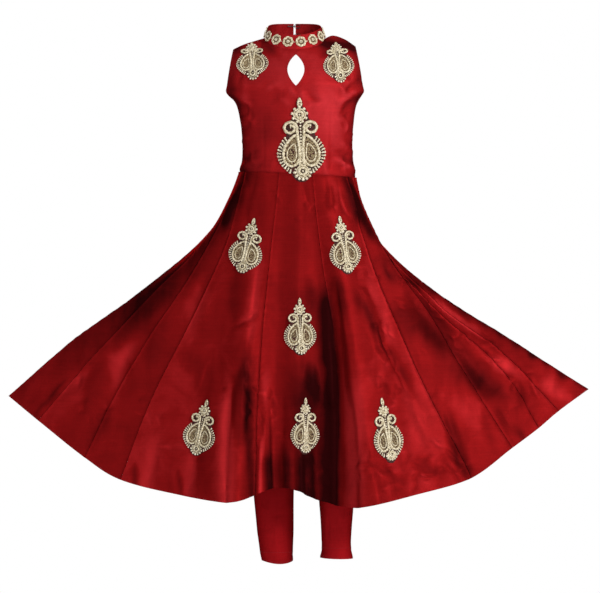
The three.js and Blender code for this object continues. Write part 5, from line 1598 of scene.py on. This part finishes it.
def build_motif(motif, seed):
    patch = Patch(motif)
    name = motif["name"]
    aspect = motif["wide"] / 2 / motif["long"]
    full = max(motif["long"], motif["wide"] * 1.72) / 100
    cord = 1.62 * full
    rng = np.random.default_rng(seed)
    backing_and_shadow = backing_and_shadow_piece(name + "_backing", patch)
    drawing = Drawing(patch)
    lift = 1.1 + cord * 0.75
    for side in (-1, 1):
        drawing.cord(*drop_curve(side), cord, lift, True)
        drawing.cord(*drop_curve(side, 0.58), cord * 0.5, lift - 0.2 * cord, True)
        drawing.cord(*scroll_curve(side), cord * 1.05, lift + 0.2 * cord, False)
    top, foot = TOP_ROSETTE, FOOT_ROSETTE
    drawing.cord(*ring_curve(top["p"], top["q"], 0.135, aspect), cord * 1.05, lift + 0.2 * cord, True)
    drawing.cord(*ring_curve(top["p"], top["q"], 0.235, aspect, count=40), cord * 0.6, lift - 0.2 * cord, True)
    drawing.cord(*ring_curve(foot["p"], foot["q"], 0.15, aspect), cord * 1.05, lift + 0.4 * cord, True)
    drawing.cord(*ring_curve(foot["p"], foot["q"], 0.245, aspect, count=40), cord * 0.5, lift, True)
    tip = np.linspace(0, 2 * np.pi, 36, endpoint=False)
    across = 0.085 * np.sin(tip) * (0.5 + 0.5 * np.cos(tip / 2) ** 2)
    drawing.cord(across, 0.94 - 0.048 * np.cos(tip), cord * 0.7, lift, True)
    cords = drawing.piece(name + "_cords", CORD)

    places, turns, sizes = [], [], []

    def put(p, q, turn, size, above=0.0):
        """Beads at flat places. turn is an angle in the drawing, size is three half lengths in parts of the motif."""
        p, q, turn = np.broadcast_arrays(np.atleast_1d(p), np.atleast_1d(q), np.atleast_1d(turn))
        across, along, up = patch.frame(p, q, turn)
        size = np.array(size) * full
        places.append(patch.place(p, q, 1.1 + size[2] * 0.7 + above))
        turns.append(frames_to_euler(across, along, up))
        sizes.append(np.tile(size, (len(p), 1)))

    def take(label, material):
        made = repeat_on(label, bead_piece, *map(np.concatenate, (places, turns, sizes)), material)
        places.clear()
        turns.clear()
        sizes.clear()
        return made

    for side in (-1, 1):
        edge_p, edge_q, inward = rim_points(side, RIM_BARS, aspect)
        for i in range(RIM_BARS):
            step_p, step_q = math.cos(inward[i]) / 100 / aspect, math.sin(inward[i]) / 100
            uneven = rng.uniform(0.85, 1.1)
            bar = inward[i] + rng.normal(0, 0.12)
            put(edge_p[i] + 3.2 * step_p, edge_q[i] + 3.2 * step_q, bar, (2.5 * uneven, 0.98, 1.1))
            put(edge_p[i] + 0.8 * step_p, edge_q[i] + 0.8 * step_q, bar, (1.2, 1.5 * uneven, 1.1))
    part = np.linspace(0, 1, 15)
    put(0 * part, mix(0.2, 0.7, part), 0 * part, (1.35, 1.3, 1.1), 0.15 * cord)
    put([-0.055, 0.055, 0], [0.715, 0.715, 0.735], [0, 0, 0], (1.0, 1.0, 1.0), 0.15 * cord)
    around = np.radians(np.linspace(-172, -8, 7))
    put(foot["p"] + 0.335 * np.cos(around), foot["q"] + 0.335 * aspect * np.sin(around), around, (2.1, 2.0, 1.5))
    around = np.radians(np.linspace(18, 162, 4))
    put(foot["p"] + 0.31 * np.cos(around), foot["q"] + 0.31 * aspect * np.sin(around), around, (1.3, 1.2, 1.2))
    around = np.radians(90 + 40 * np.arange(9))
    put(top["p"] + 0.31 * np.cos(around), top["q"] + 0.31 * aspect * np.sin(around), around, (1.7, 1.95, 1.4))
    put([foot["p"], top["p"]], [foot["q"], top["q"]], [0, 0], (1.5, 1.5, 1.3), 0.2 * cord)
    put([0, 0], [0.927, 0.955], [math.pi / 2] * 2, (1.2, 1.0, 1.1))
    put([-SCROLL["p"], SCROLL["p"]], [SCROLL["q"]] * 2, [0, 0], (0.9, 0.9, 0.9))
    beads = take(name + "_beads", BEAD)

    for side in (-1, 1):
        rows_q = np.arange(DROP["foot"], DROP["foot"] + DROP["tall"], FILL_PITCH * 0.87)
        columns_p = np.arange(0, 0.8, FILL_PITCH / aspect)
        grid_q, grid_p = np.meshgrid(rows_q, columns_p, indexing="ij")
        grid_p = grid_p + (np.arange(len(rows_q)) % 2)[:, None] * FILL_PITCH / aspect / 2
        grid_p = side * (grid_p + rng.normal(0, 0.009, grid_p.shape))
        grid_q = grid_q + rng.normal(0, 0.0025, grid_q.shape)
        keep = inside_drop(side, grid_p, grid_q, 0.9) & (rng.random(grid_p.shape) < 0.9)
        put(grid_p[keep], grid_q[keep], rng.uniform(0, math.pi, keep.sum()), (1.05, 0.82, 0.75))
    filling = take(name + "_filling", GOLD_FILL)
    wear(backing_and_shadow, "motif_embroidery", name)
    for piece in (cords, beads, filling):
        wear(piece, "motif_embroidery")
    return [len(piece.data.polygons) for piece in (cords, beads, filling)]


faces_made = [build_motif(dict(zip(MOTIF_COLUMNS, row)), 100 + i) for i, row in enumerate(MOTIFS)]
print("motif faces:", faces_made)

# %% [markdown]
# ## Collar flowers
# Fourteen small flowers of lace ring the collar. One is drawn bent to the collar's curve: a scalloped edge of cord,
# a woven disc, a ring and a knot. The same node tree puts it on the collar fourteen times.

# %% Collar flowers
FLOWER_COUNT = 14
FLOWER_RADIUS = 8.4
FLOWER_LOBES = 7
COLLAR_RADIUS = 51.0


def bend_to_collar(points):
    """Flat x, y, height in millimetres to a patch of a cylinder whose axis is parallel to y."""
    angle = points[:, 0] / COLLAR_RADIUS
    reach = COLLAR_RADIUS + points[:, 2]
    return np.stack([reach * np.sin(angle), points[:, 1], reach * np.cos(angle) - COLLAR_RADIUS], -1)


def flat_cord(x, y, height, radius, closed=True, twist=True):
    places = np.stack([x, y, np.full_like(x, height)], -1)
    places = resample(places, radius * 0.7, closed)
    return cord_parts(places, np.tile([0.0, 0, 1], (len(places), 1)), radius, closed, twist)


flower = Drawing(None)
t = np.linspace(0, 2 * np.pi, 140, endpoint=False)
scallop = FLOWER_RADIUS * (0.9 + 0.16 * np.abs(np.cos(FLOWER_LOBES * t / 2)))
flower.add(*flat_cord(scallop * np.cos(t), scallop * np.sin(t), 1.0, 1.15))
flower.add(*flat_cord(scallop * 0.79 * np.cos(t), scallop * 0.79 * np.sin(t), 1.1, 0.85))
flower.add(*flat_cord(2.1 * np.cos(t), 2.1 * np.sin(t), 1.4, 0.75))
flower_vertices = bend_to_collar(np.concatenate(flower.vertices))
flower_prototype = link_mesh("flower_prototype", flower_vertices * MM, flower.faces)
hide_prototype(flower_prototype)

disc_rings, disc_sides = 6, 42
disc = [(0, 0, 0.9)]
for r in range(1, disc_rings + 1):
    for s in range(disc_sides):
        turn = 2 * np.pi * s / disc_sides
        edge = FLOWER_RADIUS * (0.9 + 0.16 * abs(math.cos(FLOWER_LOBES * turn / 2)))
        radius = edge * r / disc_rings
        high = 0.9 - 0.1 * r / disc_rings + 0.12 * ((s + r) % 2)
        disc.append((radius * math.cos(turn), radius * math.sin(turn), high))
disc = np.array(disc)
under = disc.copy()
under[:, 2] = 0.35
disc_count = len(disc)
disc_faces = []
for s in range(disc_sides):
    n = (s + 1) % disc_sides
    disc_faces.append((0, 1 + s, 1 + n))
    disc_faces.append((disc_count, disc_count + 1 + n, disc_count + 1 + s))
    for r in range(disc_rings - 1):
        a, b = 1 + r * disc_sides, 1 + (r + 1) * disc_sides
        disc_faces.append((a + s, b + s, b + n, a + n))
        disc_faces.append((disc_count + a + s, disc_count + a + n, disc_count + b + n, disc_count + b + s))
    rim = 1 + (disc_rings - 1) * disc_sides
    disc_faces.append((rim + s, disc_count + rim + s, disc_count + rim + n, rim + n))
disc_vertices = bend_to_collar(np.concatenate([disc, under]))
disc_prototype = link_mesh("disc_prototype", disc_vertices * MM, disc_faces)
hide_prototype(disc_prototype)


def on_collar(angle, height, lift):
    angle, height = np.broadcast_arrays(np.asarray(angle, float), np.asarray(height, float))
    here = collar_point(angle, height)
    across = unit(collar_point(angle + 0.5, height) - collar_point(angle - 0.5, height))
    rise = unit(collar_point(angle, height + 0.01) - collar_point(angle, height - 0.01))
    up = unit(np.cross(across, rise))
    return here + up * lift, across, np.cross(up, across), up


flower_angles = (np.arange(FLOWER_COUNT) - (FLOWER_COUNT - 1) / 2) * 360 / FLOWER_COUNT
places, across, rise, up = on_collar(flower_angles, 0.47, 0.25)
turns = frames_to_euler(across, rise, up)
even = np.ones((FLOWER_COUNT, 3))
discs = repeat_on("collar_flower_discs", disc_prototype, places, turns, even, LACE_GROUND)
petals = repeat_on("collar_flower_petals", flower_prototype, places, turns, even, CORD)
knot_places, knot_across, knot_rise, knot_up = [], [], [], []
for angle in flower_angles:
    ring_turn = np.arange(6) * math.pi / 3
    a = angle + np.degrees(1.7 * np.cos(ring_turn) / COLLAR_RADIUS)
    h = 0.47 + 1.7 * np.sin(ring_turn) / 27
    spot = on_collar(np.append(a, angle), np.append(h, 0.47), 1.9)
    for store, values in zip((knot_places, knot_across, knot_rise, knot_up), spot):
        store.append(values)
link = on_collar(flower_angles[:-1] + 180 / FLOWER_COUNT, 0.44, 1.2)
for store, values in zip((knot_places, knot_across, knot_rise, knot_up), link):
    store.append(values)
knot_places, knot_across, knot_rise, knot_up = map(np.concatenate, (knot_places, knot_across, knot_rise, knot_up))
knots = repeat_on(
    "collar_flower_knots", bead_piece, knot_places, frames_to_euler(knot_across, knot_rise, knot_up),
    np.tile((0.8, 0.8, 0.8), (len(knot_places), 1)), BEAD,
)
wear(discs, "lace_flowers", *[f"collar_flower_{i + 1:02d}" for i in range(FLOWER_COUNT)])
wear(petals, "lace_flowers")
wear(knots, "lace_flowers")
print("collar flowers:", FLOWER_COUNT, "faces", len(petals.data.polygons))

# %% [markdown]
# ## Hooks and eyes
# Two bent-wire hooks hold two eyes across the gap of the collar. A tube along a short path makes each, finer than
# the solid but on the same line, and loops of thread sew them down.

# %% Hooks and eyes
HOOK_PATH = [(-14, 1.3), (-8, 1.1), (-1, 1.1), (1.4, 1.5), (2.4, 2.7), (1.4, 4), (-1.6, 4.4)]
EYE_PATH = [(11, 1.4, 1), (10, 2.6, 1), (6, 3, 1.1), (2, 2.8, 2), (0.6, 2.4, 2.7), (0.1, 1.2, 2.7)]
CLOSURES = {"lower": 0.22, "upper": 0.82}
COLLAR_WALL = 2.4


def inside_collar(x, rise, height, off):
    angle = 180 - math.degrees(x / NECK["back"])
    return collar_point(angle, height + rise / (COLLAR["back_z"] - NECK["back_z"]), COLLAR_WALL + off)


def wire(name, path, radius):
    path = np.array(path)
    line = []
    for i in range(len(path) - 1):
        p0 = path[max(0, i - 1)]
        p3 = path[min(len(path) - 1, i + 2)]
        for t in np.linspace(0, 1, 6, endpoint=False):
            line.append(through(p0, path[i], path[i + 1], p3, t))
    line.append(path[-1])
    line = np.array(line)
    ups = np.tile([0.0, -1, 0.02], (len(line), 1))
    vertices, faces = cord_parts(line, ups, radius, False, False, 10)
    piece = link_mesh(name, vertices * MM, faces, WIRE)
    piece.data.polygons.foreach_set("use_smooth", [True] * len(piece.data.polygons))
    return piece


loop_places = []
for word, height in CLOSURES.items():
    hook = wire(f"hook_{word}_wire", [inside_collar(x, 0, height, off) for x, off in HOOK_PATH], 0.7)
    wear(hook, "closure_wire", f"hook_{word}")
    upper = [inside_collar(x, rise, height, off) for x, rise, off in EYE_PATH]
    lower = [inside_collar(x, -rise, height, off) for x, rise, off in EYE_PATH][::-1]
    eye = wire(f"eye_{word}_wire", upper + lower, 0.5)
    wear(eye, "closure_wire", f"eye_{word}")
    loop_places += [inside_collar(x, 0, height, 1.1) for x in (-12, -9.5, -6)]
    loop_places += [inside_collar(x, rise, height, 0.9) for x, rise in ((9, 2.7), (9, -2.7), (6.5, 2.9), (6.5, -2.9))]
loop_places = np.array(loop_places)
count = len(loop_places)
axes = (np.tile(axis, (count, 1)) for axis in ((1.0, 0, 0), (0.0, 0, 1), (0.0, -1, 0)))
loop_sizes = np.tile((0.45, 1.5, 1.15), (count, 1))
sewing = repeat_on("closure_sewing", bead_piece, loop_places, frames_to_euler(*axes), loop_sizes, STITCH)
wear(sewing, "closure_wire")
print("closures:", list(CLOSURES))

# %% [markdown]
# ## Stitching
# Armholes, the leaf opening, the back opening, the front hem of the skirt and the trouser hems each carry a line
# of machine stitches inside the edge. They are small grains of thread, spaced evenly along the finished cloth.


# %% Stitching
def stitch_line(name, places, ups, slot="kurta_cloth", step=3.0, size=(1.05, 0.22, 0.2), closed=False, lift=0.12):
    even = resample(places, step, closed)
    nearest = np.argmin(((even[:, None, :] - places[None, :, :]) ** 2).sum(-1), axis=1)
    up = unit(ups[nearest])
    ahead = unit(np.gradient(even, axis=0))
    ahead = unit(ahead - up * (ahead * up).sum(-1, keepdims=True))
    piece = repeat_on(
        name, bead_piece, even + up * lift, frames_to_euler(ahead, np.cross(up, ahead), up),
        np.tile(size, (len(even), 1)), STITCH,
    )
    wear(piece, slot)
    return piece


front_normals = grid_normals(front_points)
top_rows = slice(47, 92)
for word, column in (("left", 2), ("right", -3)):
    stitch_line(f"armhole_front_{word}_stitches", front_points[top_rows, column], front_normals[top_rows, column])
for (piece, points), column, word in ((back_pieces[0], -3, "left"), (back_pieces[1], 2, "right")):
    normals = grid_normals(points)
    stitch_line(f"armhole_back_{word}_stitches", points[top_rows, column], normals[top_rows, column])
for (piece, points), column, word in ((back_pieces[0], 1, "left"), (back_pieces[1], -2, "right")):
    normals = grid_normals(points)
    stitch_line(f"back_opening_{word}_stitches", points[40:92, column], normals[40:92, column])

leaf = leaf_outline(40, 2.2)
leaf_places, leaf_ups = [], []
for x, z in leaf:
    hit, normal, _, _ = front_tree.ray_cast(Vector((x * MM, -1, z * MM)), Vector((0, 1, 0)))
    if hit is not None and hit.y < 0:
        leaf_places.append(np.array(hit) / MM)
        leaf_ups.append(np.array(normal))
stitch_line("leaf_opening_stitches", np.array(leaf_places), np.array(leaf_ups), closed=True)

for (piece, points), word in zip(leg_pieces, ("left", "right")):
    normals = grid_normals(points)
    stitch_line(f"leg_{word}_hem_stitches", points[6], normals[6], "churidar_cloth")
    stitch_line(f"leg_{word}_edge_stitches", points[1], normals[1], "churidar_cloth")

hem_places, hem_ups = [], []
for name, first, last, columns in FRONT_GORES:
    points = gore_shells[name][1]
    hem_places.append(points[-3, 1:-1])
    hem_ups.append(grid_normals(points)[-3, 1:-1])
stitch_line("kurta_front_hem_stitches", np.concatenate(hem_places), np.concatenate(hem_ups), step=4.2)
print("stitch lines made")

# %% [markdown]
# ## Cut sizes and the end
# Each cloth piece says how large it was before it was sewn up, with its own area. The last lines take away the
# prototypes.


# %% Cloth sizes
def declare(points, closed=False):
    """Cut size of a piece from its longest width and length, with its own area."""
    ring = np.concatenate([points, points[:, :1]], 1) if closed else points
    wide = np.linalg.norm(np.diff(ring, axis=1), axis=-1).sum(1).max() * MM
    long = np.linalg.norm(np.diff(ring, axis=0), axis=-1).sum(0).max() * MM
    area = min(area_of(ring), wide * long)
    return round(wide, 3), round(long, 3), round(area, 4)


cuts = {}
for name, (piece, points) in gore_shells.items():
    cuts[name] = declare(points)
cuts["bodice_front"] = declare(front_points)
for (piece, points), name in zip(back_pieces, ("bodice_back_left", "bodice_back_right")):
    cuts[name] = declare(points)
cuts["collar"] = declare(collar_base)
for (piece, points), name in zip(leg_pieces, ("leg_left", "leg_right")):
    cuts[name] = declare(points)
cuts["waistband"] = declare(band, closed=True)
for name, cut_size in cuts.items():
    print(name, cut_size)

# %% Prototypes away
for prototype in (bead_piece, flower_prototype, disc_prototype):
    bpy.data.objects.remove(prototype)
